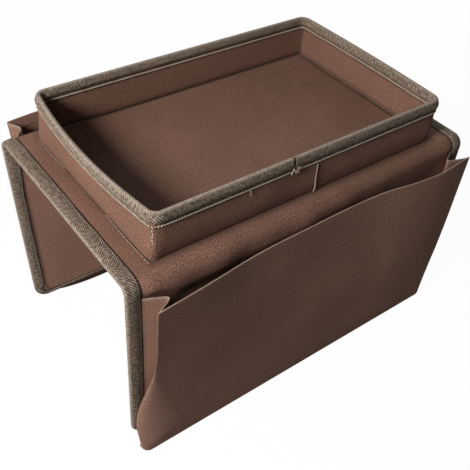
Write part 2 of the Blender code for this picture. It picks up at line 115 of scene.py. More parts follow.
# How far cloth stands off, sinks in or wanders
NEAR_ROLL = 0.0013
NEAR_ROLL_LEFT = 0.0029
NEAR_ROLL_SWELL = 0.0019
FAR_ROLL = 0.0009
SEAM_DRAW = 0.0004
END_PUFF = 0.00075
TAPE_PRESS = 0.0006
COVER_SLACK = 0.0002
LINING_SLACK = 0.0003
TAPE_PUFF = 0.0006
GROOVE_PUFF = 0.0018
GROOVE_DEPTH = 0.0026
LAP_WANDER = 0.0003
WALL_PUFF = 0.0009
WALL_TUCK = 0.0008
WALL_WRINKLE = 0.00008
LINING_PUFF = 0.0005
LINING_WRINKLE = 0.0002
LINING_PUCKER = 0.0007
FLOOR_PUFF = 0.0003
FLOOR_TUCK = 0.0012
POCKET_FULLNESS = 0.001
POCKET_WAVE = 0.00045
POCKET_WRINKLE = 0.00006
POCKET_BELLY = 0.0018
HEM_INSET = 0.002
BOTTOM_SPARE = 0.0006
PLEAT_BULGE = 0.002
PLEAT_CRUMPLE = 0.0006
EDGE_CURL = (0.009, 0.006)

# How dark the painted shade is in creases, along seams, at the tray's base and over the left end, from 0 for none to
# 1
TAPE_DARK = 0.75
RIM_DARK = 0.5
BASE_DARK = 0.62
END_DARK = 0.30
WALL_DARK = 0.15
LONG_WALL_DARK = 0.40
LINING_BASE_DARK = 0.8
LINING_CORNER_DARK = 0.55
LEFT_END_DARK = 0.35
FLOOR_EDGE_DARK = 0.7

# Steps between a sheet's points, finer where it bends
EDGE_STEP = 0.0010
FINE_STEP = 0.0012
TAPE_FOLD_STEP = 0.0013
SHEET_STEP = 0.0025
WALL_STEP = 0.0028
LONG_STEP = 0.0040
POCKET_STEP = 0.016

WHITE = (1.0, 1.0, 1.0)

# Worked out from the sizes above
TRAY_LENGTH = TOP_LENGTH - 2 * TRAY_END_MARGIN
TRAY_WIDTH = TOP_WIDTH - NEAR_STRIP - FAR_STRIP
TRAY_MIDDLE_Y = (NEAR_STRIP - FAR_STRIP) / 2
POCKET_LENGTH = TOP_LENGTH - 2 * POCKET_END_INSET
PANEL = 2 * CLOTH + 2 * GAP + BOARD
FLOOR_FACE = BOARD + CLOTH + 2 * GAP
HALF_LENGTH = TOP_LENGTH / 2
TOP_Z = PANEL
FOLD_START = TOP_WIDTH / 2 - FOLD_RADIUS
AXIS_Z = TOP_Z - FOLD_AXIS_DEPTH
FLAP_BOTTOM = FOLD_AXIS_DEPTH - FLAP_DROP
STANDING_Z = TOP_Z - FLAP_DROP - POCKET_SAG
TAPE_FACE = PANEL / 2 + GAP + TAPE
WALL_HALF_X = TRAY_LENGTH / 2 - PANEL / 2
WALL_HALF_Y = TRAY_WIDTH / 2 - PANEL / 2
WALL_RADIUS = TRAY_CORNER - PANEL / 2
STRAIGHT_X = WALL_HALF_X - WALL_RADIUS
STRAIGHT_Y = WALL_HALF_Y - WALL_RADIUS
POCKET_BACK = FOLD_AXIS_DEPTH + GAP + TAPE + GAP + CLOTH / 2
PLEAT_BACK = FOLD_AXIS_DEPTH + GAP + CLOTH / 2
POCKET_FRONT = FOLD_AXIS_DEPTH + POCKET_PROUD
CREASE_TOE = POCKET_FRONT - LOW_CREASE_RADIUS
CREASE_HEEL = CREASE_TOE - LOW_CREASE_FLAT
HINGE_UP = FOLD_AXIS_DEPTH - FLAP_DROP - POCKET_SAG + POCKET_HINGE_RISE
PLEAT_BACK_X = HALF_LENGTH - PLEAT_INSET

# The two sides, each as seen from outside it: low is its left end and high its right end.
# turn and lean: which way the side faces, and how far its flap leans out
# corner, middle and fullness: how far the mouth stands off the flap, unless mouth gives it place by place
# drop and hollow: how far the mouth lies below the top, and how far the pocket's bottom arches up
# low_draw and high_draw: how far the front's ends are drawn in towards the mouth, and low_in and high_in low down
# low_corner and high_corner: a length of the low edge, and how far it climbs there
# low_curl and high_curl: a length of the front, and how far its end turns back towards the flap
# high_climb and pleat_leg: how far the mouth's right end climbs, and half the width of a pleat's cloth
SIDES = (
    SimpleNamespace(
        name="near", turn=1.0, lean=NEAR_LEAN, corner=0.0186, drop=0.0165, hollow=0.0012,
        mouth=(
            (-1.0, 0.0205), (-0.75, 0.0165), (-0.42, 0.0100), (-0.10, 0.0082), (0.15, 0.0074), (0.40, 0.0090),
            (0.62, 0.0152), (0.80, 0.0178), (1.0, 0.0168),
        ),
        low_draw=0.0120, high_draw=0.0010, low_in=0.0, high_in=0.0025,
        low_corner=(0.008, 0.0055), high_corner=(0.006, 0.0040),
        low_curl=(0.038, 0.0130), high_curl=(0.008, 0.0030),
        high_climb=0.0040, pleat_leg=0.0190, seed=11,
    ),
    SimpleNamespace(
        name="far", turn=-1.0, lean=FAR_LEAN, corner=0.0406, drop=0.0070, hollow=0.0085,
        mouth=None, middle=0.0513, fullness=0.7,
        low_draw=0.0105, high_draw=0.0185, low_in=0.002, high_in=0.0090,
        low_corner=(0.011, 0.0075), high_corner=(0.070, 0.0165),
        low_curl=(0.018, 0.0050), high_curl=(0.010, 0.0040),
        high_climb=0.0, pleat_leg=0.0225, seed=31,
    ),
)


# Small sums


def unit(vectors):
    return vectors / np.maximum(np.linalg.norm(vectors, axis=-1, keepdims=True), 1e-12)


def smooth(share):
    """0 below 0 and 1 above 1, with a curve that starts and ends softly between them"""
    share = np.clip(share, 0.0, 1.0)
    return share * share * (3 - 2 * share)


def mix(low, high, share):
    return low + (high - low) * share


def spaced(low, high, step):
    """Even places from low to high, no further apart than step"""
    return np.linspace(low, high, max(2, int(math.ceil(abs(high - low) / step)) + 1))


def joined(*runs):
    """Runs of values end to end, each run's last value being the next one's first"""
    return np.concatenate([runs[0]] + [run[1:] for run in runs[1:]])


def stacked(*parts):
    """Numbers or arrays side by side, as points in space or as places on flat cloth"""
    return np.stack(np.broadcast_arrays(*parts), axis=-1)


def ripple(x, y, size, seed):
    """Soft uneven waves, mostly between -1 and 1, about size metres apart"""
    waves = 9
    draw = np.random.default_rng(seed)
    total = np.zeros(np.broadcast(x, y).shape)
    for _ in range(waves):
        turn = draw.uniform(0, 2 * math.pi)
        length = size * draw.uniform(0.6, 1.7)
        phase = draw.uniform(0, 2 * math.pi)
        total += np.sin(2 * math.pi / length * (x * math.cos(turn) + y * math.sin(turn)) + phase)
    return total / math.sqrt(waves)


def dent(x, middle, width):
    """A smooth bump of height 1 at middle"""
    return np.exp(-(((x - middle) / width) ** 2))


def through(knots, places):
    """A smooth curve through a few knots of (place, value)"""
    at, value = np.array(knots, float).T
    slope = np.gradient(value, at)
    places = np.clip(places, at[0], at[-1])
    index = np.clip(np.searchsorted(at, places) - 1, 0, len(at) - 2)
    width = at[index + 1] - at[index]
    t = (places - at[index]) / width
    early = (1 + 2 * t) * (1 - t) ** 2 * value[index] + t * (1 - t) ** 2 * width * slope[index]
    return early + t * t * (3 - 2 * t) * value[index + 1] + t * t * (t - 1) * width * slope[index + 1]


def path_length(points):
    """Distance along a line of points up to each of them"""
    return np.concatenate([[0.0], np.cumsum(np.linalg.norm(np.diff(points, axis=0), axis=1))])


# Sheets of cloth


def patch(grid):
    """Quads between a grid's neighbours"""
    return np.stack([grid[:-1, :-1], grid[:-1, 1:], grid[1:, 1:], grid[1:, :-1]], axis=-1).reshape(-1, 4)


def cloth_shell(name, outer, cut, thickness, outwards, material, rubbing_and_painted_light=0.0):
    """A closed sheet. outer is the grid of its outer face, cut its places on the flat cloth, and outwards the
    rough direction that the middle of the grid faces. The last argument is up to 1 where edges are paled, for
    rubbing and as painted highlight, and down to -1 where creases are darkened as painted shade"""
    rows, columns = outer.shape[:2]
    normals = unit(np.cross(np.gradient(outer, axis=1), np.gradient(outer, axis=0)))
    if np.dot(normals[rows // 2, columns // 2], outwards) < 0:
        normals = -normals
    vertices = np.concatenate([outer.reshape(-1, 3), (outer - normals * thickness).reshape(-1, 3)])
    front = np.arange(rows * columns).reshape(rows, columns)
    back = front + front.size
    borders = [(back[0], front[0]), (front[-1], back[-1]), (front[:, 0], back[:, 0]), (back[:, -1], front[:, -1])]
    faces = np.concatenate([patch(grid) for grid in (front, back[:, ::-1], *map(np.stack, borders))])
    mesh = bpy.data.meshes.new(name)
    mesh.from_pydata(vertices.tolist(), [], faces.tolist())
    places = cut.reshape(-1, 2)[faces.reshape(-1) % front.size]
    layer = mesh.uv_layers.new(name="cloth cut")
    layer.uv.foreach_set("vector", places.astype(np.float32).reshape(-1))
    tone_marks = np.broadcast_to(rubbing_and_painted_light, front.shape).reshape(-1)
    store = mesh.attributes.new("rubbing_and_painted_light", "FLOAT", "POINT")
    store.data.foreach_set("value", np.tile(tone_marks, 2).astype(np.float32))
    return finished_piece(name, mesh, material)


def finished_piece(name, mesh, material):
    """An object for a closed mesh, with its faces turned outwards and its borders kept crisp"""
    tool = bmesh.new()
    tool.from_mesh(mesh)
    bmesh.ops.recalc_face_normals(tool, faces=tool.faces[:])
    tool.to_mesh(mesh)
    tool.free()
    mesh.materials.append(material)
    mesh.shade_smooth()
    mesh.set_sharp_from_angle(angle=math.radians(50))
    mesh.validate()
    return linked(bpy.data.objects.new(name, mesh))


def linked(item):
    """The object itself, once it is in the scene"""
    bpy.context.scene.collection.objects.link(item)
    return item


def carry(item, by):
    """Moves a piece with the body of that name; a piece over a fold, given as two bodies and two points, is only
    baked in place
    """
    if isinstance(by, str):
        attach(item, by)
    else:
        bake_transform(item)


def dress(item, nodes, by):
    """Moves a finished piece with what carries it, and hides the imported solids that it stands for"""
    carry(item, by)
    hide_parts(*nodes)


# Nodes


def fill(tree, node, inputs):
    """Links or sets a node's inputs, given by name or number. A plain colour is made opaque"""
    for title, value in inputs.items():
        socket = node.inputs[title]
        if isinstance(value, bpy.types.NodeSocket):
            tree.links.new(value, socket)
        else:
            socket.default_value = (*value, 1.0) if socket.type == "RGBA" else value


def wired(tree, kind, inputs=None, **settings):
    """The outputs of a new node with these settings and inputs"""
    node = tree.nodes.new(kind)
    for title, value in settings.items():
        setattr(node, title, value)
    fill(tree, node, inputs or {})
    return node.outputs


def new_group(name, inputs, outputs, kind="ShaderNodeTree"):
    """A node group, the sockets that it is given, and the node that takes what it makes"""
    group = bpy.data.node_groups.new(name, kind)
    for title, sort, value in inputs:
        socket = group.interface.new_socket(name=title, in_out="INPUT", socket_type="NodeSocket" + sort)
        if value is not None:
            socket.default_value = value
    for title, sort in outputs:
        group.interface.new_socket(name=title, in_out="OUTPUT", socket_type="NodeSocket" + sort)
    return group, wired(group, "NodeGroupInput"), group.nodes.new("NodeGroupOutput")


def use_group(tree, group, **values):
    inputs = {title.replace("_", " "): value for title, value in values.items()}
    return wired(tree, "ShaderNodeGroup", inputs, node_tree=group)


def math_node(tree, operation, *values):
    return wired(tree, "ShaderNodeMath", dict(enumerate(values)), operation=operation)[0]


def noise_node(tree, vector, scale, detail=2.0, roughness=0.5):
    inputs = {"Vector": vector, "Scale": scale, "Detail": detail, "Roughness": roughness}
    return wired(tree, "ShaderNodeTexNoise", inputs)["Fac"]


def stretched(tree, vector, factors):
    return wired(tree, "ShaderNodeVectorMath", {0: vector, 1: factors}, operation="MULTIPLY")[0]


def scaled(tree, vector, factor):
    return wired(tree, "ShaderNodeVectorMath", {0: vector, "Scale": factor}, operation="SCALE")[0]


def value_mix(tree, factor, first, second):
    return wired(tree, "ShaderNodeMix", {"Factor": factor, "A": first, "B": second}, data_type="FLOAT")["Result"]


def colour_mix(tree, factor, first, second, kind="MIX"):
    inputs = {"Factor": factor, 6: first, 7: second}
    return wired(tree, "ShaderNodeMix", inputs, data_type="RGBA", blend_type=kind)[2]


def ranged(tree, value, low, high, from_low=0.0, from_high=1.0):
    inputs = {"Value": value, "From Min": from_low, "From Max": from_high, "To Min": low, "To Max": high}
    return wired(tree, "ShaderNodeMapRange", inputs)[0]


def ridges(tree, value):
    """Rounded ridges from 0 to 1, one for each whole step of the value"""
    return math_node(tree, "ABSOLUTE", math_node(tree, "SINE", math_node(tree, "MULTIPLY", value, math.pi)))


# Cloth, thread and card


def weave_group():
    """Plain weave on a UV map in metres: height of the threads, and their uneven dye"""
    tree, given, made = new_group(
        "plain weave",
        [("Cut", "Vector", None), ("Threads per metre", "Float", 1000.0), ("Grains per metre", "Float", 800.0)],
        [("Height", "Float"), ("Dye", "Float")],
    )
    threads = scaled(tree, given["Cut"], given["Threads per metre"])
    x, y, _ = wired(tree, "ShaderNodeSeparateXYZ", {0: threads})
    warp, weft = ridges(tree, x), ridges(tree, y)
    floors = math_node(tree, "ADD", math_node(tree, "FLOOR", x), math_node(tree, "FLOOR", y))
    over = math_node(tree, "PINGPONG", floors, 1.0)
    warp_up = math_node(tree, "MULTIPLY", warp, math_node(tree, "MULTIPLY_ADD", weft, 0.6, 0.4))
    weft_up = math_node(tree, "MULTIPLY", weft, math_node(tree, "MULTIPLY_ADD", warp, 0.6, 0.4))
    grains = scaled(tree, given["Cut"], given["Grains per metre"])
    along = noise_node(tree, stretched(tree, grains, (1.0, 0.55, 1.0)), 1.0, 1.0)
    across = noise_node(tree, stretched(tree, grains, (0.55, 1.0, 1.0)), 1.0, 1.0)
    height, dye = value_mix(tree, over, warp_up, weft_up), value_mix(tree, over, along, across)
    fill(tree, made, {"Height": height, "Dye": dye})
    return tree


def twill_group():
    """Tape's slanting ribs on a UV map in metres, u along the tape and v across it"""
    tree, given, made = new_group(
        "tape ribs",
        [("Cut", "Vector", None), ("Ribs per metre", "Float", 540.0), ("Slant", "Float", 0.8)],
        [("Height", "Float"), ("Dye", "Float")],
    )
    cut, ribs = given["Cut"], given["Ribs per metre"]
    u, v, _ = wired(tree, "ShaderNodeSeparateXYZ", {0: cut})
    sway = ranged(tree, noise_node(tree, cut, 60.0, 1.0), -0.0012, 0.0012, 0.2, 0.8)
    slanted = math_node(tree, "ADD", u, math_node(tree, "MULTIPLY_ADD", v, given["Slant"], sway))
    rib = ridges(tree, math_node(tree, "MULTIPLY", slanted, ribs))
    thread = ridges(tree, math_node(tree, "MULTIPLY", math_node(tree, "MULTIPLY", v, ribs), 1.7))
    height = math_node(tree, "MULTIPLY_ADD", thread, 0.20, math_node(tree, "MULTIPLY", rib, 0.80))
    dye = noise_node(tree, stretched(tree, cut, (520.0, 300.0, 1.0)), 1.0)
    fill(tree, made, {"Height": height, "Dye": dye})
    return tree


def rubbing_and_shade_group():
    """Slow random changes of tone over a used cloth, paler at edges for rubbing and as painted highlight, and darker
    as painted shade deep in its creases
    """
    tree, given, made = new_group(
        "rubbing and painted shade",
        [("Place", "Vector", None), ("Patch size", "Float", 0.05)],
        [("Shade", "Float"), ("Rubbing and highlight", "Float"), ("Crease shade", "Float")],
    )
    patches = scaled(tree, given["Place"], math_node(tree, "DIVIDE", 1.0, given["Patch size"]))
    shade = noise_node(tree, patches, 1.0, 4.0, 0.6)
    fine = noise_node(tree, given["Place"], 260.0, 3.0, 0.65)
    # The piece's marks: above 0 they pale the cloth for rubbing and as painted highlight, below 0 they darken it as
    # painted shade in creases
    rubbing_and_painted_light = wired(tree, "ShaderNodeAttribute", attribute_name="rubbing_and_painted_light")["Fac"]
    tone_marks = math_node(tree, "MAXIMUM", rubbing_and_painted_light, 0.0)
    shade_depth = math_node(tree, "MULTIPLY", math_node(tree, "MINIMUM", rubbing_and_painted_light, 0.0), -1.0)
    paled = math_node(tree, "MULTIPLY", tone_marks, math_node(tree, "MULTIPLY_ADD", fine, 1.4, -0.1))
    crease_shading = math_node(tree, "MULTIPLY", shade_depth, math_node(tree, "MULTIPLY_ADD", fine, 0.6, 0.7))
    fill(tree, made, {"Shade": shade, "Rubbing and highlight": paled, "Crease shade": crease_shading})
    return tree


def new_material(name):
    """A material with its node tree, its shader and the place on the piece"""
    material = bpy.data.materials.new(name)
    material.use_nodes = True
    tree = material.node_tree
    return material, tree, tree.nodes["Principled BSDF"], wired(tree, "ShaderNodeTexCoord")["Object"]


def woven_material(name, pattern, colour, dark, pale, sheen, bump, deep, **sizes):
    """Cloth or tape: a woven pattern on the cut's UV map, uneven dye, slow shade changes, edges paled for rubbing
    and as painted highlight, and painted shade in creases.
    deep is how dark the painted shade in the gaps between threads is, from 0 for black to 1 for no darker than the
    threads"""
    material, tree, shader, place = new_material(name)
    cut = wired(tree, "ShaderNodeUVMap", uv_map="cloth cut")[0]
    woven = use_group(tree, pattern, Cut=cut, **sizes)
    marking = use_group(tree, RUBBING_AND_SHADE, Place=place, Patch_size=0.06)
    threads = colour_mix(tree, ranged(tree, woven["Dye"], 0.0, 1.0, 0.42, 0.58), dark, colour)
    # Painted shade in the gaps between the threads
    hollow = ranged(tree, woven["Height"], deep, 1.05, 0.12, 0.80)
    gap_shaded = colour_mix(tree, 1.0, threads, hollow, "MULTIPLY")
    patches = ranged(tree, marking["Shade"], 0.90, 1.10, 0.3, 0.7)
    # Painted shade darkens the creases, by up to three quarters
    slow = math_node(tree, "MULTIPLY", patches, ranged(tree, marking["Crease shade"], 1.0, 0.25))
    shaded = colour_mix(tree, 1.0, gap_shaded, slow, "MULTIPLY")
    raised = wired(tree, "ShaderNodeBump", {"Strength": 1.0, "Distance": bump, "Height": woven["Height"]})
    fill(tree, shader, {
        "Base Color": colour_mix(tree, marking["Rubbing and highlight"], shaded, pale),
        "Roughness": ranged(tree, woven["Height"], 0.95, 0.80),
        "Sheen Weight": sheen,
        "Sheen Roughness": 0.45,
        "Sheen Tint": pale,
        "Specular IOR Level": 0.20,
        "Normal": raised[0],
    })
    return material


def thread_material(name, dark, pale):
    material, tree, shader, place = new_material(name)
    twist = noise_node(tree, place, 900.0)
    fill(tree, shader, {
        "Base Color": colour_mix(tree, ranged(tree, twist, 0.0, 1.0, 0.3, 0.7), dark, pale),
        "Roughness": ranged(tree, twist, 0.6, 0.85),
        "Specular IOR Level": 0.25,
    })
    return material


def card_material():
    """Grey board with the flecks and long fibres of pressed waste paper"""
    material, tree, shader, place = new_material("pressed card")
    fibre = noise_node(tree, stretched(tree, place, (90.0, 700.0, 700.0)), 1.0, 4.0, 0.6)
    fleck = noise_node(tree, place, 900.0)
    base = colour_mix(tree, ranged(tree, fibre, 0.0, 1.0, 0.3, 0.7), (0.24, 0.215, 0.18), (0.36, 0.33, 0.28))
    raised = wired(tree, "ShaderNodeBump", {"Distance": 0.0001, "Height": fibre})
    fill(tree, shader, {
        "Base Color": colour_mix(tree, ranged(tree, fleck, 0.0, 0.5, 0.62, 0.75), base, (0.12, 0.10, 0.085)),
        "Roughness": ranged(tree, fibre, 0.85, 0.95),
        "Normal": raised[0],
    })
    return material


PLAIN_WEAVE = weave_group()
TAPE_RIBS = twill_group()
RUBBING_AND_SHADE = rubbing_and_shade_group()
COVER = woven_material(
    "cover cloth", PLAIN_WEAVE, colour=(0.400, 0.214, 0.150), dark=(0.185, 0.088, 0.058), pale=(0.47, 0.36, 0.28),
    sheen=0.03, bump=0.00032, deep=0.62, Threads_per_metre=1450.0, Grains_per_metre=1050.0,
)
LINING = woven_material(
    "lining cloth", PLAIN_WEAVE, colour=(0.375, 0.200, 0.140), dark=(0.170, 0.081, 0.054), pale=(0.47, 0.35, 0.28),
    sheen=0.03, bump=0.00030, deep=0.64, Threads_per_metre=1450.0, Grains_per_metre=1050.0,
)
# The lining cloth painted paler for the flaps, as painted light on their inner faces
PALER_FLAP_LINING = woven_material(
    "flap lining cloth", PLAIN_WEAVE,
    colour=(0.500, 0.278, 0.200), dark=(0.270, 0.137, 0.095), pale=(0.52, 0.40, 0.32),
    sheen=0.03, bump=0.00026, deep=0.64, Threads_per_metre=1450.0, Grains_per_metre=1000.0,
)
POCKET = woven_material(
    "pocket cloth", PLAIN_WEAVE, colour=(0.375, 0.212, 0.152), dark=(0.205, 0.106, 0.072), pale=(0.50, 0.40, 0.32),
    sheen=0.03, bump=0.00024, deep=0.70, Threads_per_metre=1500.0, Grains_per_metre=1050.0,
)
BINDING = woven_material(
    "binding tape", TAPE_RIBS, colour=(0.395, 0.305, 0.230), dark=(0.180, 0.130, 0.091), pale=(0.60, 0.51, 0.42),
    sheen=0.04, bump=0.00070, deep=0.0, Ribs_per_metre=430.0, Slant=0.9,
)
PALE_THREAD = thread_material("pale border thread", dark=(0.30, 0.235, 0.175), pale=(0.52, 0.43, 0.34))
# Near-black thread: the stitching beside the tapes and down the corner seam, darkened to stand in for the shade in
# the crevices there
SEAM_SHADOW_THREAD = thread_material("dark seam thread", dark=(0.014, 0.007, 0.005), pale=(0.034, 0.018, 0.013))
CARD = card_material()


# Places on the fold and flap


def on_side(side, points):
    """Points made for the near side, turned to the side they belong to"""
    return points * np.array([side.turn, side.turn, 1.0])


def fold_arc(side):
    """Length of cloth round the fold"""
    return FOLD_RADIUS * (math.pi / 2 + side.lean)


def axis_reach(side):
    """How far the fold's axis lies past the fold's start"""
    return (FOLD_RADIUS - FOLD_AXIS_DEPTH) * math.tan((math.pi / 2 + side.lean) / 2)


def flap_direction(side, x, out, up):
    """A world direction from a flap's own X, the way out from its face, and the way up it"""
    lean = side.lean
    y = -out * math.cos(lean) - up * math.sin(lean)
    return on_side(side, stacked(x, y, up * math.cos(lean) - out * math.sin(lean)))


def flap_place(side, x, out, up):
    """World points from a flap's own X, distance out from the fold's axis, and height along the flap"""
    axis = on_side(side, stacked(0.0, -(FOLD_START + axis_reach(side)), AXIS_Z))
    return axis + flap_direction(side, x, out, up)


def drape_line(side, run):
    """Outer face of the top, fold and flap as one line: points, outward and onward directions.
    run is measured from the fold's start, negative on the top"""
    bend = math.pi / 2 + side.lean
    angle = np.clip(run / FOLD_RADIUS, 0.0, bend)
    after = np.maximum(run - fold_arc(side), 0.0)
    y = -(FOLD_START + np.minimum(run, 0.0) + FOLD_RADIUS * np.sin(angle) + after * math.cos(bend))
    z = TOP_Z - FOLD_RADIUS + FOLD_RADIUS * np.cos(angle) - after * math.sin(bend)
    outwards = stacked(0.0, -np.sin(angle), np.cos(angle))
    onwards = stacked(0.0, -np.cos(angle), -np.sin(angle))
    return [on_side(side, line) for line in (stacked(0.0, y, z), outwards, onwards)]


def side_run(side):
    """Length of cloth from the fold's start to the flap's bottom edge"""
    return fold_arc(side) - axis_reach(side) - FLAP_BOTTOM


def fold_blend(side):
    """The two bodies and two points at a side's fold, from the saddle to the flap"""
    points, _, _ = drape_line(side, np.array([0.0, fold_arc(side)]))
    return "saddle", side.name + "_flap", tuple(points[0]), tuple(points[1])


# Top, folds and flaps


def past_wall(across):
    """Distance out from the tray's near or far wall, negative between them"""
    return np.abs(across) - np.where(across < 0, TRAY_WIDTH / 2 - TRAY_MIDDLE_Y, TRAY_WIDTH / 2 + TRAY_MIDDLE_Y)


def cover_lift(x, across):
    """How far the cover stands off its card. across runs over the saddle and on down the flaps. The cloth is
    drawn down where the tray and the tape are sewn to it, and puffs up between those seams"""
    wall_x, field_x = TRAY_LENGTH / 2, HALF_LENGTH - EDGE_TAPE_LAP
    from_wall = past_wall(across)
    end_strip = np.sin(np.clip((np.abs(x) - wall_x) / (field_x - wall_x), 0, 1) * math.pi) ** 0.7
    inner = smooth((HALF_LENGTH - 0.020 - np.abs(x)) / 0.030)
    fall = smooth((from_wall - mix(0.018, 0.025, inner)) / mix(0.012, 0.021, inner))
    side_strip = smooth(from_wall / 0.0160) * (1 - fall) * smooth((field_x - np.abs(x)) / 0.010)
    near_roll = NEAR_ROLL + NEAR_ROLL_LEFT * smooth((0.12 - x) / 0.14) + NEAR_ROLL_SWELL * dent(x, -0.100, 0.060)
    fullness = np.where(across < 0, near_roll, FAR_ROLL)
    rolls = 0.86 + 0.22 * ripple(x + 0.5 * across, across * 0.8, 0.06, 5)
    puckers = ripple(x + 0.8 * across, across * 0.1, 0.011, 6)
    draws = SEAM_DRAW * np.exp(-np.maximum(from_wall, 0) / 0.010) * puckers
    lift = np.where(from_wall > 0, side_strip * fullness * rolls + draws * smooth(from_wall / 0.004), 0.0)
    end_waves = END_PUFF * end_strip * (0.8 + 0.4 * ripple(x * 0.7, across, 0.035, 15))
    lift = lift + end_waves * np.where(np.abs(across) < FOLD_START, 1.0, 0.5)
    return np.maximum(lift, -0.0001) - TAPE_PRESS * dent(np.abs(x), field_x + 0.0004, 0.0012)


def cover_crease_shade(x, across):
    """How much painted shade each place of the cover takes, as a negative value: deepest in the creases along the
    tray's base and beside the tapes
    """
    past_end = np.abs(x) - TRAY_LENGTH / 2
    from_wall = past_wall(across)
    beside = np.exp(-((np.maximum(from_wall, 0) / 0.0055) ** 2)) * (past_end < 0.004)
    at_end = np.exp(-((np.maximum(past_end, 0) / 0.0035) ** 2)) * (from_wall < 0.004)
    by_tape = dent(np.abs(x), HALF_LENGTH - EDGE_TAPE_LAP, TAPE_CREASE)
    by_tray = np.maximum(BASE_DARK * beside * np.where(across < 0, 1.0, 0.6), END_DARK * at_end)
    return -np.maximum(by_tray, TAPE_DARK * by_tape)


def top_sheet(layer, face, material):
    """The flat middle of the top's cover or lining, between its seams to the side cloths"""
    half_x = HALF_LENGTH - HIDDEN_EDGE
    half_y = FOLD_START - SEAM_BEFORE_FOLD
    x, y = np.meshgrid(spaced(-half_x, half_x, SHEET_STEP), spaced(-half_y, half_y, SHEET_STEP))
    # The cover takes painted shade along the tray's base and beside the tapes
    lift, rubbing_and_painted_light, way = (cover_lift(x, y), cover_crease_shade(x, y), 1) if layer == "cover" else (0.0, 0.0, -1)
    points = stacked(x, y, TOP_Z + face + lift)
    item = cloth_shell(f"top_{layer}_cloth", points, stacked(x, y), CLOTH, (0, 0, way), material, rubbing_and_painted_light)
    dress(item, ["top_" + layer], "saddle")


def side_sheet(side, layer, material):
    """Cover or lining from a seam on the top, over the fold and down the flap, in one cloth"""
    outside = layer == "cover"
    arc = fold_arc(side)
    bottom = side_run(side) - HIDDEN_EDGE
    over_fold = spaced(-SEAM_BEFORE_FOLD, arc + 0.02, FINE_STEP if outside else 2 * FINE_STEP)
    run = joined(over_fold, spaced(arc + 0.02, bottom, LONG_STEP))
    corner = FLAP_CORNER - HIDDEN_EDGE
    past = np.clip(run - (bottom - corner), 0, corner)
    half = HALF_LENGTH - HIDDEN_EDGE - (corner - np.sqrt(np.maximum(corner**2 - past**2, 0.0)))
    x = half[:, None] * spaced(-1, 1, SHEET_STEP / HALF_LENGTH)
    s = np.broadcast_to(run[:, None], x.shape)
    if outside:
        saddle_x, across = x * side.turn, -side.turn * (FOLD_START + s)
        soft = np.maximum(1.4 + ripple(x, s * 0.7, 0.07, side.seed), 0.0)
        lift = cover_lift(saddle_x, across) + COVER_SLACK * soft * smooth((s - arc) / 0.03)
        # Painted shade along the tray's base and beside the tapes
        rubbing_and_painted_light = cover_crease_shade(saddle_x, across)
    else:
        soft = ripple(x * 0.5, s, 0.08, side.seed + 1) * smooth((s - arc) / 0.02)
        slack = np.maximum(1.8 + soft, 0.0) * smooth((HALF_LENGTH - EDGE_TAPE_LAP - np.abs(x)) / 0.02)
        lift = -PANEL - LINING_SLACK * slack
        # Painted shade in a line on the lining beside the tape's lap
        rubbing_and_painted_light = -TAPE_DARK * dent(half[:, None] + HIDDEN_EDGE - np.abs(x), EDGE_TAPE_LAP, TAPE_CREASE)
    line, outwards, _ = drape_line(side, run)
    points = line[:, None] + outwards[:, None] * lift[..., None] + stacked(x, 0.0, 0.0)
    hint = outwards[len(run) // 2] * (1 if outside else -1)
    name = side.name
    item = cloth_shell(
        f"{name}_side_{layer}_cloth", points, stacked(x, s + FOLD_START), CLOTH, hint, material, rubbing_and_painted_light
    )
    dress(
        item, [f"{name}_fold_{layer}", f"{name}_flap_{layer}"], fold_blend(side),
    )


# Binding tape


def tape_section(outer_lap, inner_lap, groove):
    """Section of the folded tape's outer face, with a row for each place along it: depth in from the panel's edge,
    height off the panel's middle, distance across the tape, and its marks: lap borders and nose paled for rubbing
    and as painted highlight, painted shade down the middle and in the groove"""
    leg = np.array([0.0, 0.05, 0.10, 0.16, 0.21, 0.27, 0.34, 0.42, 0.53, 0.66, 0.79, 0.90])
    turn = np.linspace(0.0, math.pi, 13)
    nose = np.tile(TAPE_FACE - TAPE_FACE * np.sin(turn), (len(outer_lap), 1))
    outer, inner = mix(outer_lap, TAPE_FACE, leg), mix(inner_lap, TAPE_FACE, leg)
    depth = np.concatenate([outer, nose, inner[:, ::-1]], axis=1)
    puff = (TAPE_PUFF + GROOVE_PUFF * groove) * np.sin(np.clip((leg - groove) / (1 - groove), 0, 1) * math.pi)
    puff = puff - GROOVE_DEPTH * groove * dent(leg, 0.25, 0.08)
    height = np.concatenate([TAPE_FACE + puff, TAPE_FACE * np.cos(turn), (-TAPE_FACE - puff)[::-1]])
    step = np.hypot(np.diff(depth, axis=1), np.diff(height))
    across = np.concatenate([np.zeros_like(outer_lap), np.cumsum(step, axis=1)], axis=1)
    # Painted shade down each leg's middle and in the groove; lap borders and the nose paled for rubbing and as
    # painted highlight
    middle = 0.16 * (1 - groove / 0.3) * dent(leg, 0.45, 0.22) + 3.0 * groove * dent(leg, 0.25, 0.07)
    lap_tone = 0.75 * dent(leg, 0.02, 0.07) - middle
    rubbing_and_painted_light = np.concatenate([lap_tone, (0.40 + groove) * np.sin(turn) ** 2, lap_tone[::-1]])
    return depth, height, across, rubbing_and_painted_light


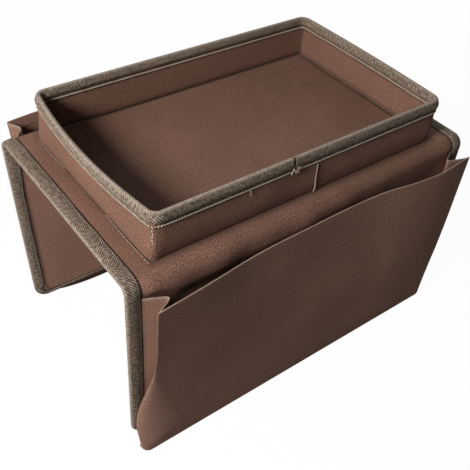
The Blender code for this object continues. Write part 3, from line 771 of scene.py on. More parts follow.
def tape_piece(name, edge, laps, seed, nodes, by, groove=0.0, joint_slant=0.0):
    """Folded tape along an edge: its points, the directions into the panel and the directions outwards. laps are how
    far it reaches in on the outer and the inner face. The joint's slant moves one end of the section along it"""
    edges, inwards, outwards = edge
    run = path_length(edges)
    outer_lap = laps[0] + LAP_WANDER * ripple(run, 0 * run, 0.05, seed)
    inner_lap = laps[1] + LAP_WANDER * ripple(run, 0 * run, 0.04, seed + 1)
    depth, height, across, rubbing_and_painted_light = tape_section(outer_lap[:, None], inner_lap[:, None], groove)
    swell = 1 + 0.05 * ripple(run[:, None], across, 0.03, seed + 2)
    height = height * np.where(np.abs(height) >= TAPE_FACE * 0.98, swell, 1.0)
    points = edges[:, None] + inwards[:, None] * depth[..., None] + outwards[:, None] * height[..., None]
    close = np.exp(-run / 0.02) + np.exp(-(run[-1] - run) / 0.02)
    slant = joint_slant * (across / across[:, -1:] - 0.5) * close[:, None]
    points = points + unit(np.gradient(edges, axis=0))[:, None] * slant[..., None]
    cut = stacked(run[:, None], across).transpose(1, 0, 2)
    item = cloth_shell(
        name, points.transpose(1, 0, 2), cut, TAPE, -inwards[len(run) // 2], BINDING, rubbing_and_painted_light[:, None]
    )
    dress(item, nodes, by)


def stitch_row(edge, depth, height):
    """A row of stitches along an edge, with the direction that it faces"""
    edges, inwards, outwards = edge
    points = edges + inwards * np.broadcast_to(depth, len(edges))[:, None] + outwards * height
    return points, outwards * np.sign(height)


def facing(points, way):
    """A row of stitches that all face one way"""
    return points, np.tile(way, (len(points), 1))


def seam_rows(edge, laps):
    """The thread beside a tape's two laps"""
    return [stitch_row(edge, lap + BORDER_SEAM, face * PANEL / 2) for face, lap in zip((1, -1), laps)]


def side_edge(side):
    """The edge that a side's tape binds, from a seam on the top's left end, over the fold, round the flap and
    back to the top's right end, and the tape's laps on it. The inner lap is less down a flap than on the top, and
    least along its bottom"""
    arc = fold_arc(side)
    straight = side_run(side) - FLAP_CORNER
    run = joined(
        spaced(-SEAM_BEFORE_FOLD, 0, FINE_STEP), spaced(0, arc, TAPE_FOLD_STEP), spaced(arc, straight, LONG_STEP)
    )
    line, outwards, onwards = drape_line(side, run)
    middle = line - outwards * PANEL / 2
    across, down, centre = np.array([1.0, 0, 0]), onwards[-1], middle[-1]
    turn = np.linspace(0, math.pi / 2, 13)[1:-1, None]
    left_out = np.sin(turn) * down - np.cos(turn) * across
    right_out = np.sin(turn) * across + np.cos(turn) * down
    half = HALF_LENGTH - FLAP_CORNER
    bottom = spaced(-half, half, LONG_STEP)[:, None] * across
    edges = np.concatenate([
        middle - across * HALF_LENGTH,
        centre - across * half + left_out * FLAP_CORNER,
        centre + down * FLAP_CORNER + bottom,
        centre + across * half + right_out * FLAP_CORNER,
        middle[::-1] + across * HALF_LENGTH,
    ])
    inwards = np.tile(across, (len(run), 1))
    inwards = np.concatenate([inwards, -left_out, np.tile(-down, (len(bottom), 1)), -right_out, -inwards])
    flat = np.tile(outwards[-1], (2 * len(turn) + len(bottom), 1))
    faces = np.concatenate([outwards, flat, outwards[::-1]])
    on_flap = smooth((TOP_Z - 0.02 - edges[:, 2]) / 0.05)
    on_bottom = np.abs(inwards @ down)
    inner_lap = mix(mix(EDGE_TAPE_LAP, FLAP_TAPE_INNER_LAP, on_flap), BOTTOM_TAPE_INNER_LAP, on_bottom)
    return (edges, inwards, faces), (EDGE_TAPE_LAP, inner_lap)


# Tray


def tray_plan(start_x, opening):
    """Places round the tray's wall from just right of start_x on the near wall: base, normal and sway"""
    places = []

    def straight(side, low, high):
        places.extend((x, side * WALL_HALF_Y, 0.0, side, 0.0) for x in spaced(low, high, LONG_STEP))

    def end(which, low, high):
        bow = LEFT_WALL_BOW if which < 0 else RIGHT_WALL_BOW
        for y in spaced(low, high, LONG_STEP):
            places.append((which * WALL_HALF_X, y, which, 0.0, which * bow * (1 - (y / STRAIGHT_Y) ** 2)))

    def corner(which, side, start):
        for turn in np.linspace(start, start + math.pi / 2, 11)[1:-1]:
            x, y = math.cos(turn), math.sin(turn)
            places.append((which * STRAIGHT_X + x * WALL_RADIUS, side * STRAIGHT_Y + y * WALL_RADIUS, x, y, 0.0))

    straight(-1, start_x + opening / 2, STRAIGHT_X)
    corner(1, -1, -math.pi / 2)
    end(1, -STRAIGHT_Y, STRAIGHT_Y)
    corner(1, 1, 0.0)
    straight(1, STRAIGHT_X, -STRAIGHT_X)
    corner(-1, 1, math.pi / 2)
    end(-1, STRAIGHT_Y, -STRAIGHT_Y)
    corner(-1, -1, math.pi)
    straight(-1, -STRAIGHT_X, start_x - opening / 2)
    x, y, normal_x, normal_y, sway = np.array(places).T
    return stacked(x, y + TRAY_MIDDLE_Y, TOP_Z), stacked(normal_x, normal_y, 0.0), stacked(sway, 0.0, 0.0)


def wall_grid(plan, offset, up):
    """Points on a face of the wall, at an offset outwards from its middle and a height up it"""
    base, normal, sway = plan
    return base + normal * offset[..., None] + sway * (up / TRAY_HEIGHT)[..., None] + stacked(0.0, 0.0, up)


def by_corner(base, width):
    """1 at the middle of each of the tray's corners, falling to 0 away from them"""
    gap = np.hypot(np.abs(base[:, 0]) - WALL_HALF_X, np.abs(base[:, 1] - TRAY_MIDDLE_Y) - WALL_HALF_Y)
    return dent(gap, WALL_RADIUS * (math.sqrt(2) - 1), width)


def tray_cover():
    """The cloth outside the walls: full in the middle, tucked in at its base and puckered along its corner seam"""
    plan = tray_plan(WALL_SEAM_X, GAP)
    base, normal, _ = plan
    run = path_length(base)
    top = TRAY_HEIGHT - RIM_CLEARANCE
    up = joined(spaced(0.0004, 0.003, 0.0008), spaced(0.003, top, WALL_STEP))[:, None]
    share = up / top
    puff = WALL_PUFF * np.sin(np.pi * np.clip(share * 1.25, 0, 1)) * (0.7 + 0.3 * ripple(run, up, 0.06, 3))
    puff = puff - WALL_TUCK * (1 - smooth(up / 0.0025))
    wrinkles = WALL_WRINKLE * ripple(run * 0.6 + up, up * 0.8, 0.018, 4) * (1 - share)
    flare = WALL_FLARE * np.maximum(-normal[:, 0], 0) * (1 - smooth(up / 0.024)) * smooth(up / 0.0018)
    sharp = np.where((base[:, 0] < 0) & (base[:, 1] < 0), 1.0, 0.3) * by_corner(base, 0.0015)
    pucker = CORNER_RIDGE * sharp * (0.85 + 0.25 * np.sin(up / 0.0042 * 2 * math.pi))
    points = wall_grid(plan, PANEL / 2 + puff + wrinkles + pucker + flare, up)
    # Painted shade: darker towards the wall's base, most on the wall that faces the near side, and in a line under
    # the rim tape's lap
    low = WALL_DARK + LONG_WALL_DARK * np.maximum(-normal[:, 1], 0.0)
    by_rim = dent(up, TRAY_HEIGHT - RIM_TAPE_OUTER_LAP, TAPE_CREASE)
    rubbing_and_painted_light = -low * (1 - smooth(up / 0.018)) - RIM_DARK * by_rim
    item = cloth_shell("tray_wall_cover_cloth", points, stacked(run, up), CLOTH, (0, 1, 0), COVER, rubbing_and_painted_light)
    dress(
        item, ["tray_wall_cover"], "saddle",
    )


def tray_lining():
    """The cloth inside the walls, from the floor panel to the rim"""
    plan = tray_plan(WALL_SEAM_X, GAP)
    base = plan[0]
    run = path_length(base)
    low, top = FLOOR_FACE, TRAY_HEIGHT - RIM_CLEARANCE
    up = spaced(low, top, WALL_STEP)[:, None]
    arch = np.sin(np.pi * (up - low) / (top - low))
    puff = LINING_PUFF * arch * (1.1 + 0.4 * ripple(run, up, 0.05, 8))
    puff = np.maximum(puff + LINING_WRINKLE * ripple(run, up * 0.5, 0.022, 9) * arch, 0.0)
    points = wall_grid(plan, LINING_PUCKER * by_corner(base, 0.0015) - PANEL / 2 - puff, up)
    # Painted shade: a line under the rim tape, darker along the floor and in the corners, and a painted shadow over
    # the left end
    by_rim = dent(up, TRAY_HEIGHT - RIM_TAPE_INNER_LAP, TAPE_CREASE)
    rubbing_and_painted_light = -LINING_BASE_DARK * dent(up, low, 0.0030) - LINING_CORNER_DARK * by_corner(base, 0.0012)
    rubbing_and_painted_light = np.maximum(rubbing_and_painted_light - RIM_DARK * by_rim - LEFT_END_DARK * (base[:, 0] < -0.14), -1.0)
    item = cloth_shell("tray_wall_lining_cloth", points, stacked(run, up), CLOTH, (0, -1, 0), LINING, rubbing_and_painted_light)
    dress(
        item, ["tray_wall_lining"], "saddle",
    )


def tray_floor():
    """The floor's cloth over its card, softly dished, with its edges turned down against the walls"""
    half_x, half_y = (size / 2 - PANEL - FLOOR_CLEARANCE for size in (TRAY_LENGTH, TRAY_WIDTH))
    columns, rows = (
        joined(
            spaced(-half, 0.006 - half, EDGE_STEP), spaced(0.006 - half, half - 0.006, LONG_STEP),
            spaced(half - 0.006, half, EDGE_STEP),
        )
        for half in (half_x, half_y)
    )
    x, y = np.meshgrid(columns, rows)
    inside = np.minimum(half_x - np.abs(x), half_y - np.abs(y))
    drop = FLOOR_TUCK * (1 - smooth(inside / 0.0022))
    lift = FLOOR_PUFF * np.maximum(1.5 + ripple(x, y, 0.09, 14), 0.0) * smooth(inside / 0.01)
    points = stacked(x, y + TRAY_MIDDLE_Y, TOP_Z + FLOOR_FACE + lift - drop)
    # Painted shade along the floor's edges by the walls
    rubbing_and_painted_light = -FLOOR_EDGE_DARK * (1 - smooth(inside / 0.0035))
    item = cloth_shell("tray_floor_cloth", points, stacked(x, y), CLOTH, (0, 0, 1), LINING, rubbing_and_painted_light)
    dress(item, ["tray_floor_cover"], "saddle")


def rim_edge():
    """The tray's crest as the rim tape binds it"""
    base, normal, sway = tray_plan(RIM_SEAM_X, RIM_JOINT)
    crest = base + sway + stacked(0.0, 0.0, TRAY_HEIGHT)
    down = unit(base - crest)
    return crest, down, unit(normal - down * np.sum(normal * down, axis=1, keepdims=True))


# Pockets


def mouth_up(side):
    """Height of the mouth from the fold's axis"""
    return FOLD_AXIS_DEPTH - side.drop


def mouth_line(side, across):
    """The mouth's height along it, which climbs at the near side's right end"""
    return mouth_up(side) + side.high_climb * smooth((across - 0.72) / 0.28)


def panel_end(side, end, share):
    """Where the front's end lies along X, full and wide low down and drawn in towards the mouth"""
    draw, pulled = (side.low_draw, side.low_in) if end < 0 else (side.high_draw, side.high_in)
    full = POCKET_FULLNESS * dent(share, 0.08, 0.12) if end < 0 else 0.0
    pulled = pulled * (1 - smooth(share / 0.4))
    return end * (POCKET_LENGTH / 2 + full - pulled - draw * smooth((share - 0.2) / 0.55))


def mouth_out(side, across):
    """How far the mouth stands off the flap's outer face"""
    if side.mouth:
        return through(side.mouth, across)
    towards_middle = np.maximum(0.0, np.cos(across * math.pi / 2)) ** side.fullness
    return mix(side.corner, side.middle, towards_middle)


def panel_out(side, across, share):
    """How far the front lies out from the fold's axis, at a share of its height"""
    return mix(POCKET_FRONT, FOLD_AXIS_DEPTH + mouth_out(side, across), share)


def rounded(gap, reach):
    """A quarter round's fall, 1 at the very end and 0 once the gap to it is the reach"""
    short = np.clip(1 - gap / reach, 0, 1)
    return 1 - np.sqrt(np.maximum(1 - short**2, 0.0))


def curl(side, low_gap, high_gap, share):
    """How far the front's ends curl back towards the flap, given the distances to its low and high ends: most
    just above the bottom edge and none at the mouth"""
    fade = np.maximum(1 - smooth((share - 0.15) / 0.5), 1e-4)
    spread = smooth(share / 0.14)
    total = 0.0
    for gap, (length, depth) in ((low_gap, side.low_curl), (high_gap, side.high_curl)):
        reach = mix(min(length, EDGE_CURL[0]), length, spread)
        turn = mix(min(depth, EDGE_CURL[1]), depth, spread)
        total = total + turn * fade * rounded(gap, reach * fade)
    return total


def low_rise(side, low_gap, high_gap):
    """How far the low edge climbs round its corners"""
    ends = ((low_gap, side.low_corner), (high_gap, side.high_corner))
    return sum(rise * rounded(gap, length) for gap, (length, rise) in ends)


def pocket_columns():
    """Places along a pocket from -1 to 1, close together at its rounded ends"""
    end = 1 - 0.14 * np.linspace(0, 1, 15) ** 1.7
    return np.concatenate([-end, spaced(-0.86, 0.86, 0.014)[1:-1], end[::-1]])


def pocket_shell(side, part, local, hint, rubbing_and_painted_light=0.0):
    """A pocket's front or bottom from its points beside the flap, and the length of its cloth up the middle"""
    points = flap_place(side, *local.transpose(2, 0, 1))
    climb = path_length(points[:, points.shape[1] // 2])
    cut = stacked(local[..., 0], climb[:, None])
    name = f"{side.name}_pocket_{part}_cloth"
    return cloth_shell(name, points, cut, CLOTH, hint, POCKET, rubbing_and_painted_light), float(climb[-1])


def pocket_front(side):
    """The pocket's front, with its mouth turned in as a hem behind it"""
    height = mouth_up(side) - HINGE_UP
    columns = pocket_columns()
    rise = spaced(0.0, 1.0, POCKET_STEP)
    a, share = np.meshgrid(columns, rise)
    low, high = panel_end(side, -1, share), panel_end(side, 1, share)
    x = mix(low, high, (a + 1) / 2)
    folds = ripple(x * 0.8, share * height * 0.8, 0.10, side.seed + 5) * POCKET_WAVE
    folds = folds + POCKET_WRINKLE * ripple(x * 1.2 + share * 0.08, share * height * 0.5, 0.03, side.seed + 6)
    folds = folds * np.sin(np.pi * np.clip(share * 0.96 + 0.02, 0, 1)) ** 0.8 * (1 - a**4)
    belly = POCKET_BELLY * np.sin(np.pi * share**0.6) * (1 - a**2) ** 0.7
    out = panel_out(side, a, share) - curl(side, x - low, high - x, share) + folds + belly
    up = mix(HINGE_UP + low_rise(side, x - low, high - x), mouth_line(side, a), share)
    lip = 2 * CLOTH + GAP
    turn = np.linspace(0, math.pi, 7)[1:, None]
    folded = stacked(x[-1], out[-1] - lip / 2 * (1 - np.cos(turn)), up[-1] + lip / 2 * np.sin(turn))
    back = np.linspace(1.0, 1.0 - HEM_WIDTH / height, 5)[1:, None]
    ends = (panel_end(side, -1, back) + HEM_INSET, panel_end(side, 1, back) - HEM_INSET)
    inner = mix(*ends, (columns + 1) / 2)
    lead = np.interp(back, rise, np.arange(len(rise)))
    row = lead[:, 0].astype(int)
    level = mix(out[row], out[np.minimum(row + 1, len(rise) - 1)], lead - row[:, None])
    behind = stacked(inner, level - lip, mix(HINGE_UP, mouth_line(side, columns), back))
    local = np.concatenate([stacked(x, out, up), folded, behind])
    # The hem's folded crest is paled, for rubbing and as a painted highlight
    crest = np.zeros((len(local), 1))
    crest[len(rise) : len(rise) + 3] = 1.1
    item, length = pocket_shell(side, "front", local, flap_direction(side, 0.0, 1.0, 0.0), crest)
    name = side.name + "_pocket"
    dress(
        item, [name + "_front", name + "_hem"], name,
    )


def floor_up(side, out):
    """Height along the flap at which the object stands on the floor"""
    return (STANDING_Z + CLOTH / 2 - AXIS_Z + out * math.sin(side.lean)) / math.cos(side.lean)


def pocket_bottom(side):
    """Cloth that slants from the flap's bottom edge to a sharp low crease, and turns up into the front"""
    rows = [(POCKET_BACK, FLAP_BOTTOM + POCKET_SEAM_OVERLAP, 0.0)]
    for share in np.linspace(0, 1, 9):
        up = mix(FLAP_BOTTOM, floor_up(side, CREASE_HEEL), share) + side.hollow * math.sin(math.pi * share)
        rows.append((mix(POCKET_BACK, CREASE_HEEL, share), up, share))
    for turn in np.linspace(0, math.pi / 2, 6):
        up = floor_up(side, CREASE_TOE) + LOW_CREASE_RADIUS * (1 - math.cos(turn))
        rows.append((CREASE_TOE + LOW_CREASE_RADIUS * math.sin(turn), up, 1.0))
    rows.append((POCKET_FRONT, HINGE_UP, 1.0))
    out, up, share = np.array(rows).T[..., None]
    part = (out - POCKET_BACK) / (POCKET_FRONT - POCKET_BACK)
    low = mix(-PLEAT_BACK_X, panel_end(side, -1, 0.0), part)
    high = mix(PLEAT_BACK_X, panel_end(side, 1, 0.0), part)
    x = mix(low - BOTTOM_SPARE, high + BOTTOM_SPARE, (pocket_columns() + 1) / 2)
    pulled = out - curl(side, x - low, high - x, 0.0) * smooth(part)
    local = stacked(x, pulled, up + low_rise(side, x - low, high - x) * share)
    item, length = pocket_shell(side, "bottom", local, (0, 0, -1))
    name = side.name
    dress(
        item, [name + "_pocket_bottom"], name + "_flap",
    )


def pleat_columns():
    """Places across a pleat, from -1 at the flap to 1 at the front"""
    return np.linspace(-1, 1, 33)


def pleat_section(side, end, share):
    """A pleat's points beside the flap at one share of its height, from its back to its front"""
    along = pleat_columns()
    soft = 0.10 + 0.14 * smooth((share - 0.85) / 0.15)
    weight = (np.sqrt(along**2 + soft**2) - soft) / (math.sqrt(1 + soft**2) - soft)
    to_front, to_back = (weight + along) / 2, (weight - along) / 2
    over_tape = 1 - smooth((share - 0.09) / 0.05)
    back = np.array([end * PLEAT_BACK_X, PLEAT_BACK + (GAP + TAPE) * over_tape])
    curled = float(curl(side, 0.0, 1.0, share) if end < 0 else curl(side, 1.0, 0.0, share))
    out = float(panel_out(side, end, share)) - (CLOTH + GAP) * smooth(share / 0.4) - curled
    front = np.array([float(panel_end(side, end, share)) - end * CLOTH / 2, out])
    half = (front - back) / 2
    leg = mix((POCKET_FRONT - POCKET_BACK) / 2, side.pleat_leg, 1 - (1 - share) ** 2)
    spare = max(0.0, leg**2 - half @ half)
    depth = math.sqrt(spare / (1 - (half[0] / leg) ** 2)) * smooth((share - 0.12) / 0.3)
    crease = back + half - np.array([end * depth, 0])
    place = crease + to_front[:, None] * (front - crease) + to_back[:, None] * (back - crease)
    bulge = PLEAT_BULGE * smooth(share / 0.06) * (1 - smooth((share - 0.1) / 0.25)) * (1 - along**2)
    low_front = HINGE_UP + (side.low_corner if end < 0 else side.high_corner)[1]
    up = mix(mix(FLAP_BOTTOM, low_front, (along + 1) / 2), mouth_line(side, end), share)
    return stacked(place[:, 0] + end * bulge, place[:, 1], up)


def pleat_blend(side):
    """The two bodies and two points at a pleat, from the flap to the pocket's front"""
    bottom = flap_place(side, 0.0, POCKET_FRONT, HINGE_UP)
    top = flap_place(side, 0.0, FOLD_AXIS_DEPTH + side.corner - CLOTH - GAP, mouth_up(side))
    line = unit(top - bottom)
    square = flap_direction(side, 0.0, 1.0, 0.0)
    square = unit(square - line * (square @ line))
    finish_at = flap_place(side, 0.0, POCKET_FRONT - CLOTH - GAP, HINGE_UP)
    begin_at = finish_at - square * (POCKET_FRONT - POCKET_BACK - CLOTH)
    return side.name + "_flap", side.name + "_pocket", tuple(begin_at), tuple(finish_at)


def pleat(side, end):
    """A pocket's pleated end: creased inwards near the mouth and full near the bottom"""
    rise = spaced(0.0, 1.0, POCKET_STEP)
    rows = [pleat_section(side, end, share) for share in rise]
    local = np.stack(rows)
    x, out, up = local.transpose(2, 0, 1)
    crumple = PLEAT_CRUMPLE * ripple(out * 1.5, up * 0.6, 0.03, side.seed + 7 + end) * (1 - pleat_columns() ** 6)
    points = flap_place(side, x + crumple, out, up)
    climb = path_length(points[:, 0])
    steps = np.hypot(*np.diff(local[..., :2], axis=1).transpose(2, 0, 1))
    width = np.concatenate([np.zeros((len(rise), 1)), np.cumsum(steps, axis=1)], axis=1)
    # The pleat's top at the mouth is paled, for rubbing and as a painted highlight
    paled = dent(rise, 1.0, 0.012)[:, None]
    world_end = "left" if end * side.turn < 0 else "right"
    name = f"{side.name}_pocket_{world_end}_pleat"
    hint = flap_direction(side, float(end), 0.0, 0.0)
    item = cloth_shell(name + "_cloth", points, stacked(width, climb[:, None]), CLOTH, hint, POCKET, paled)
    dress(
        item, [name], pleat_blend(side),
    )


# Stitches


def stitch_tree():
    """Lays one short thread after another along every line of the mesh"""
    tree, given, made = new_group(
        "stitch rows",
        [
            ("Geometry", "Geometry", None), ("Pitch", "Float", BEAD_PITCH), ("Length", "Float", BEAD_LENGTH),
            ("Thread radius", "Float", BEAD_RADIUS), ("Turn", "Float", 0.0), ("Unevenness", "Float", 0.25),
            ("Thread", "Material", None),
        ],
        [("Geometry", "Geometry")],
        "GeometryNodeTree",
    )
    radius = given["Thread radius"]
    lines = wired(tree, "GeometryNodeMeshToCurve", {0: given["Geometry"]})
    spread = wired(tree, "GeometryNodeCurveToPoints", {"Curve": lines[0], "Length": given["Pitch"]}, mode="LENGTH")
    way = wired(tree, "GeometryNodeInputNamedAttribute", {"Name": "outwards"}, data_type="FLOAT_VECTOR")
    aim = wired(
        tree, "FunctionNodeAxesToRotation", {0: spread["Tangent"], 1: way[0]},
        primary_axis="X", secondary_axis="Z",
    )
    chance = wired(tree, "FunctionNodeRandomValue", {"Seed": 7, 2: -0.5, 3: 0.5}, data_type="FLOAT")
    spin = math_node(tree, "MULTIPLY_ADD", chance[1], given["Unevenness"], given["Turn"])
    angles = wired(tree, "ShaderNodeCombineXYZ", {2: spin})
    small = wired(tree, "FunctionNodeEulerToRotation", {0: angles[0]})
    turned = wired(tree, "FunctionNodeRotateRotation", {0: aim[0], 1: small[0]}, rotation_space="LOCAL")
    thread = wired(tree, "GeometryNodeMeshUVSphere", {"Segments": 8, "Rings": 5, "Radius": 1.0})
    halved = math_node(tree, "MULTIPLY", given["Length"], 0.5)
    shape = wired(tree, "ShaderNodeCombineXYZ", {0: halved, 1: radius, 2: radius})
    sized = wired(tree, "GeometryNodeTransform", {"Geometry": thread[0], "Scale": shape[0]})
    smoothed = wired(tree, "GeometryNodeSetShadeSmooth", {"Geometry": sized[0]})
    placed = wired(
        tree, "GeometryNodeInstanceOnPoints",
        {"Points": spread["Points"], "Instance": smoothed[0], "Rotation": turned[0]},
    )
    solid = wired(tree, "GeometryNodeRealizeInstances", {0: placed[0]})
    dyed = wired(tree, "GeometryNodeSetMaterial", {"Geometry": solid[0], "Material": given["Thread"]})
    fill(tree, made, {"Geometry": dyed[0]})
    return tree


def stitches(name, rows, tree, thread, **sizes):
    """One mesh of stitches from rows of points, each with the direction that its stitches face"""
    sizes = {title.replace("_", " "): value for title, value in sizes.items()}
    sizes["Thread"] = thread
    starts = np.cumsum([0] + [len(points) for points, _ in rows])
    edges = [
        (start + index, start + index + 1)
        for start, (points, _) in zip(starts.tolist(), rows) for index in range(len(points) - 1)
    ]
    mesh = bpy.data.meshes.new(name + " lines")
    mesh.from_pydata(np.concatenate([points for points, _ in rows]).tolist(), edges, [])
    store = mesh.attributes.new("outwards", "FLOAT_VECTOR", "POINT")
    ways = np.concatenate([outwards for _, outwards in rows])
    store.data.foreach_set("vector", ways.astype(np.float32).reshape(-1))
    guide = linked(bpy.data.objects.new(name + " lines", mesh))
    sewing = guide.modifiers.new("stitches", "NODES")
    sewing.node_group = tree
    for item in tree.interface.items_tree:
        if item.item_type == "SOCKET" and item.in_out == "INPUT" and item.name in sizes:
            sewing[item.identifier] = sizes[item.name]
    evaluated = guide.evaluated_get(bpy.context.evaluated_depsgraph_get())
    sewn = bpy.data.meshes.new_from_object(evaluated)
    bpy.data.objects.remove(guide, do_unlink=True)
    sewn.name = name
    return linked(bpy.data.objects.new(name, sewn))


def sew_on(name, kinds, tree, by):
    """Rows of thread that move with one body, or that are baked in place over a fold"""
    for kind, rows, thread, sizes in kinds:
        sewn = stitches(f"{name}_{kind}", rows, tree, thread, **sizes)
        carry(sewn, by)


def build_side(side, tree):
    name = side.name
    side_sheet(side, "cover", COVER)
    side_sheet(side, "lining", PALER_FLAP_LINING)
    edge, laps = side_edge(side)
    tape_piece(
        name + "_side_binding", edge, laps, side.seed + 60,
        [f"{name}_fold_left_tape", f"{name}_fold_right_tape", f"{name}_flap_tape"], fold_blend(side),
    )
    # Near-black seam thread beside the tapes, stitching that also stands in for the shade in the crevice there
    kinds = [("seam_thread_and_shadow", seam_rows(edge, laps), SEAM_SHADOW_THREAD, SEAM_SIZES)]
    sew_on(name + "_side", kinds, tree, fold_blend(side))
    pocket_front(side)
    pocket_bottom(side)
    for end in (-1, 1):
        pleat(side, end)


def build_top(tree):
    top_sheet("cover", 0.0, COVER)
    top_sheet("lining", -PANEL, LINING)
    y = spaced(SEAM_BEFORE_FOLD - FOLD_START, FOLD_START - SEAM_BEFORE_FOLD, LONG_STEP)
    laps = (EDGE_TAPE_LAP, EDGE_TAPE_LAP)
    seams = []
    for end, name in ((-1, "left"), (1, "right")):
        points = stacked(end * HALF_LENGTH, y, TOP_Z - PANEL / 2)
        edge = (points, np.tile([-float(end), 0, 0], (len(y), 1)), np.tile([0, 0, 1.0], (len(y), 1)))
        tape_piece(
            f"top_{name}_binding", edge, laps, 80 + end, [f"top_{name}_tape"], "saddle",
        )
        seams += seam_rows(edge, laps)
    # Near-black seam thread beside the tapes, stitching that also stands in for the shade in the crevice there
    sew_on("top", [("seam_thread_and_shadow", seams, SEAM_SHADOW_THREAD, SEAM_SIZES)], tree, "saddle")


def wall_corner_row(reach, shift):
    """A row down the near left corner's seam, at a reach outwards and a shift towards the near wall"""
    height = spaced(0.033, 0.0015, 0.002)
    way = np.array([-1.0, -1.0, 0.0]) / math.sqrt(2)
    side = np.array([1.0, -1.0, 0.0]) / math.sqrt(2)
    weave = 0.0005 * ripple(height, 0 * height, 0.009, 21)
    points = stacked(-STRAIGHT_X, TRAY_MIDDLE_Y - STRAIGHT_Y, TOP_Z + height)
    return facing(points + way * (WALL_RADIUS + PANEL / 2 + reach) + side * (shift + weave)[:, None], way)


def on_near_wall(places, stand_off=0.0011):
    """Places of x and height on the near wall's outer face"""
    x, height = np.array(places).T
    return facing(stacked(x, TRAY_MIDDLE_Y - TRAY_WIDTH / 2 - stand_off, TOP_Z + height), (0.0, -1.0, 0.0))


def left_base_row(first, last):
    """A stretch of the line of stitching along the left wall's base"""
    y = spaced(first, last, LONG_STEP)
    bow = 0.0008 * np.sin((y - first) / (last - first) * math.pi)
    x = -(TRAY_LENGTH / 2 + WALL_FLARE + 0.0004) - bow
    lift = cover_lift(x, y + TRAY_MIDDLE_Y)
    return facing(stacked(x, y + TRAY_MIDDLE_Y, TOP_Z + lift + 0.0002), (-0.5, 0.0, 0.85))


def build_tray(tree):
    tray_floor()
    tray_cover()
    tray_lining()
    edge, laps = rim_edge(), (RIM_TAPE_OUTER_LAP, RIM_TAPE_INNER_LAP)
    tape_piece(
        "tray_rim_binding", edge, laps, 90, ["tray_rim_tape"], "saddle",
        groove=0.3, joint_slant=0.003,
    )
    beads = [stitch_row(edge, lap - BORDER_BEAD, face * TAPE_FACE) for face, lap in zip((1, -1), laps)]
    closing = on_near_wall([(0.0045, 0.0300), (0.0050, 0.0132), (0.0060, 0.0045), (0.0050, 0.0022)])
    tail = on_near_wall([(-0.0682, 0.0315), (-0.0678, 0.0280)], 0.0016)
    joint = []
    for shift, rise in ((-0.0030, 0.0004), (0.0016, 0.0004), (0.0040, -0.0002)):
        x, height = RIM_SEAM_X + shift, 0.0332 + rise
        joint.append(on_near_wall([(x - 0.0006, height), (x + 0.0008, height + 0.0034)], 0.0026))
    sew_on("tray", [
        ("border_beads", beads, PALE_THREAD, {"Turn": BEAD_TURN}),
        # Near-black seam thread beside the rim tape, stitching that also stands in for the shade in the crevice
        # there
        ("seam_thread_and_shadow", seam_rows(edge, laps), SEAM_SHADOW_THREAD, SEAM_SIZES),
        ("corner_stitches", [wall_corner_row(CORNER_RIDGE + 0.0003, 0.0)], PALE_THREAD, KNOT_SIZES),
        # Near-black thread down the corner seam, also painted shade beside the corner's ridge
        ("corner_seam_shadow", [wall_corner_row(CORNER_RIDGE - 0.0010, 0.0015)], SEAM_SHADOW_THREAD, SEAM_SIZES),
        ("closing_thread", [closing, tail] + joint, PALE_THREAD, CORD_SIZES),
        ("base_thread", [left_base_row(-0.034, -0.099), left_base_row(0.090, 0.044)], PALE_THREAD, BASE_SIZES),
    ], tree, "saddle")


def finish_cards():
    """Gives the cards inside the cloth their material"""
    for node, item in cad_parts.items():
        if node.endswith("_board"):
            for slot in item.material_slots:
                slot.material = CARD


# Camera, floor and light


def place_camera():
    """The photograph's view, from a fit to the object's own corners"""
    azimuth, elevation, roll = math.radians(-40.15), math.radians(42.13), math.radians(5.29)
    target = Vector((-0.0871, TRAY_MIDDLE_Y - 0.1092, TOP_Z))
    distance = 0.5734
    focal_pixels, frame_pixels = 706.3, 470.0
    back = Vector(
        (math.sin(azimuth) * math.cos(elevation), -math.cos(azimuth) * math.cos(elevation), math.sin(elevation))
    )
    level = Vector((0, 0, 1)).cross(back).normalized()
    upright = back.cross(level)
    right = level * math.cos(roll) + upright * math.sin(roll)
    up = upright * math.cos(roll) - level * math.sin(roll)
    lens = bpy.data.cameras.new("camera")
    lens.sensor_fit = "HORIZONTAL"
    lens.sensor_width = 36.0
    lens.lens = focal_pixels * lens.sensor_width / frame_pixels
    lens.clip_start = 0.01
    camera = linked(bpy.data.objects.new("camera", lens))
    place = Matrix((right, up, back)).transposed().to_4x4()
    place.translation = target + back * distance
    camera.matrix_world = place
    bpy.context.scene.camera = camera


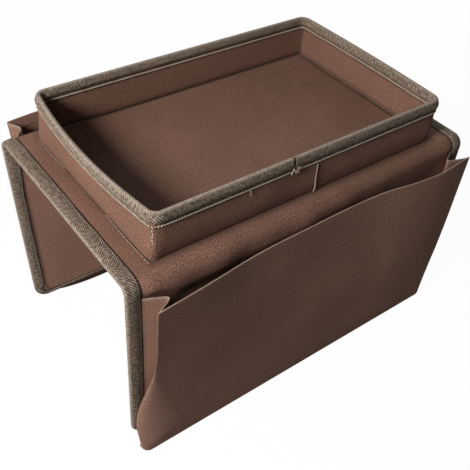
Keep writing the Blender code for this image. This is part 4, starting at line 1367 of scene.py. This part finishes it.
def floor_material():
    """A pale floor that a camera sees nearly white, with the object's shadow left on it"""
    material, tree, shader, _ = new_material("pale floor")
    seen = wired(tree, "ShaderNodeLightPath")["Is Camera Ray"]
    pale = colour_mix(tree, seen, (0.32, 0.32, 0.32), WHITE)
    fill(tree, shader, {"Base Color": pale, "Roughness": 0.9, "Specular IOR Level": 0.0})
    glow = wired(tree, "ShaderNodeEmission", {"Color": WHITE})
    share = math_node(tree, "MULTIPLY", seen, 0.97)
    mixed = wired(tree, "ShaderNodeMixShader", {0: share, 1: shader.outputs[0], 2: glow[0]})
    fill(tree, tree.nodes["Material Output"], {"Surface": mixed[0]})
    return material


def build_stage():
    tool = bmesh.new()
    bmesh.ops.create_circle(tool, cap_ends=True, segments=64, radius=4.0)
    mesh = bpy.data.meshes.new("studio floor")
    tool.to_mesh(mesh)
    tool.free()
    mesh.transform(Matrix.Translation((0, 0, STANDING_Z - 0.0005)))
    mesh.materials.append(floor_material())
    linked(bpy.data.objects.new("studio floor", mesh))


def add_lamp(name, place, aim, size, power):
    lamp = bpy.data.lights.new(name, "AREA")
    lamp.shape = "DISK"
    lamp.size = size
    lamp.energy = power
    item = linked(bpy.data.objects.new(name, lamp))
    item.location = place
    item.rotation_euler = (Vector(aim) - Vector(place)).to_track_quat("-Z", "Y").to_euler()


def build_light():
    scene = bpy.context.scene
    world = bpy.data.worlds.new("studio")
    world.use_nodes = True
    tree = world.node_tree
    tree.nodes.clear()
    seen = wired(tree, "ShaderNodeLightPath")
    either = math_node(tree, "MAXIMUM", seen["Is Camera Ray"], seen["Is Glossy Ray"])
    soft = wired(tree, "ShaderNodeBackground", {"Color": WHITE, "Strength": 0.045})
    white = wired(tree, "ShaderNodeBackground", {"Color": WHITE, "Strength": 1.0})
    mixed = wired(tree, "ShaderNodeMixShader", {0: either, 1: soft[0], 2: white[0]})
    wired(tree, "ShaderNodeOutputWorld", {0: mixed[0]})
    scene.world = world
    add_lamp("key lamp", place=(-0.98, -0.23, 0.60), aim=(0.0, 0.0, -0.03), size=0.34, power=17.0)
    add_lamp("back lamp", place=(1.1, 1.0, 0.34), aim=(0.0, 0.0, -0.08), size=0.9, power=8.0)
    scene.view_settings.view_transform = "Standard"


def main():
    place_camera()
    build_stage()
    build_light()
    tree = stitch_tree()
    build_top(tree)
    build_tray(tree)
    for side in SIDES:
        build_side(side, tree)
    finish_cards()


main()
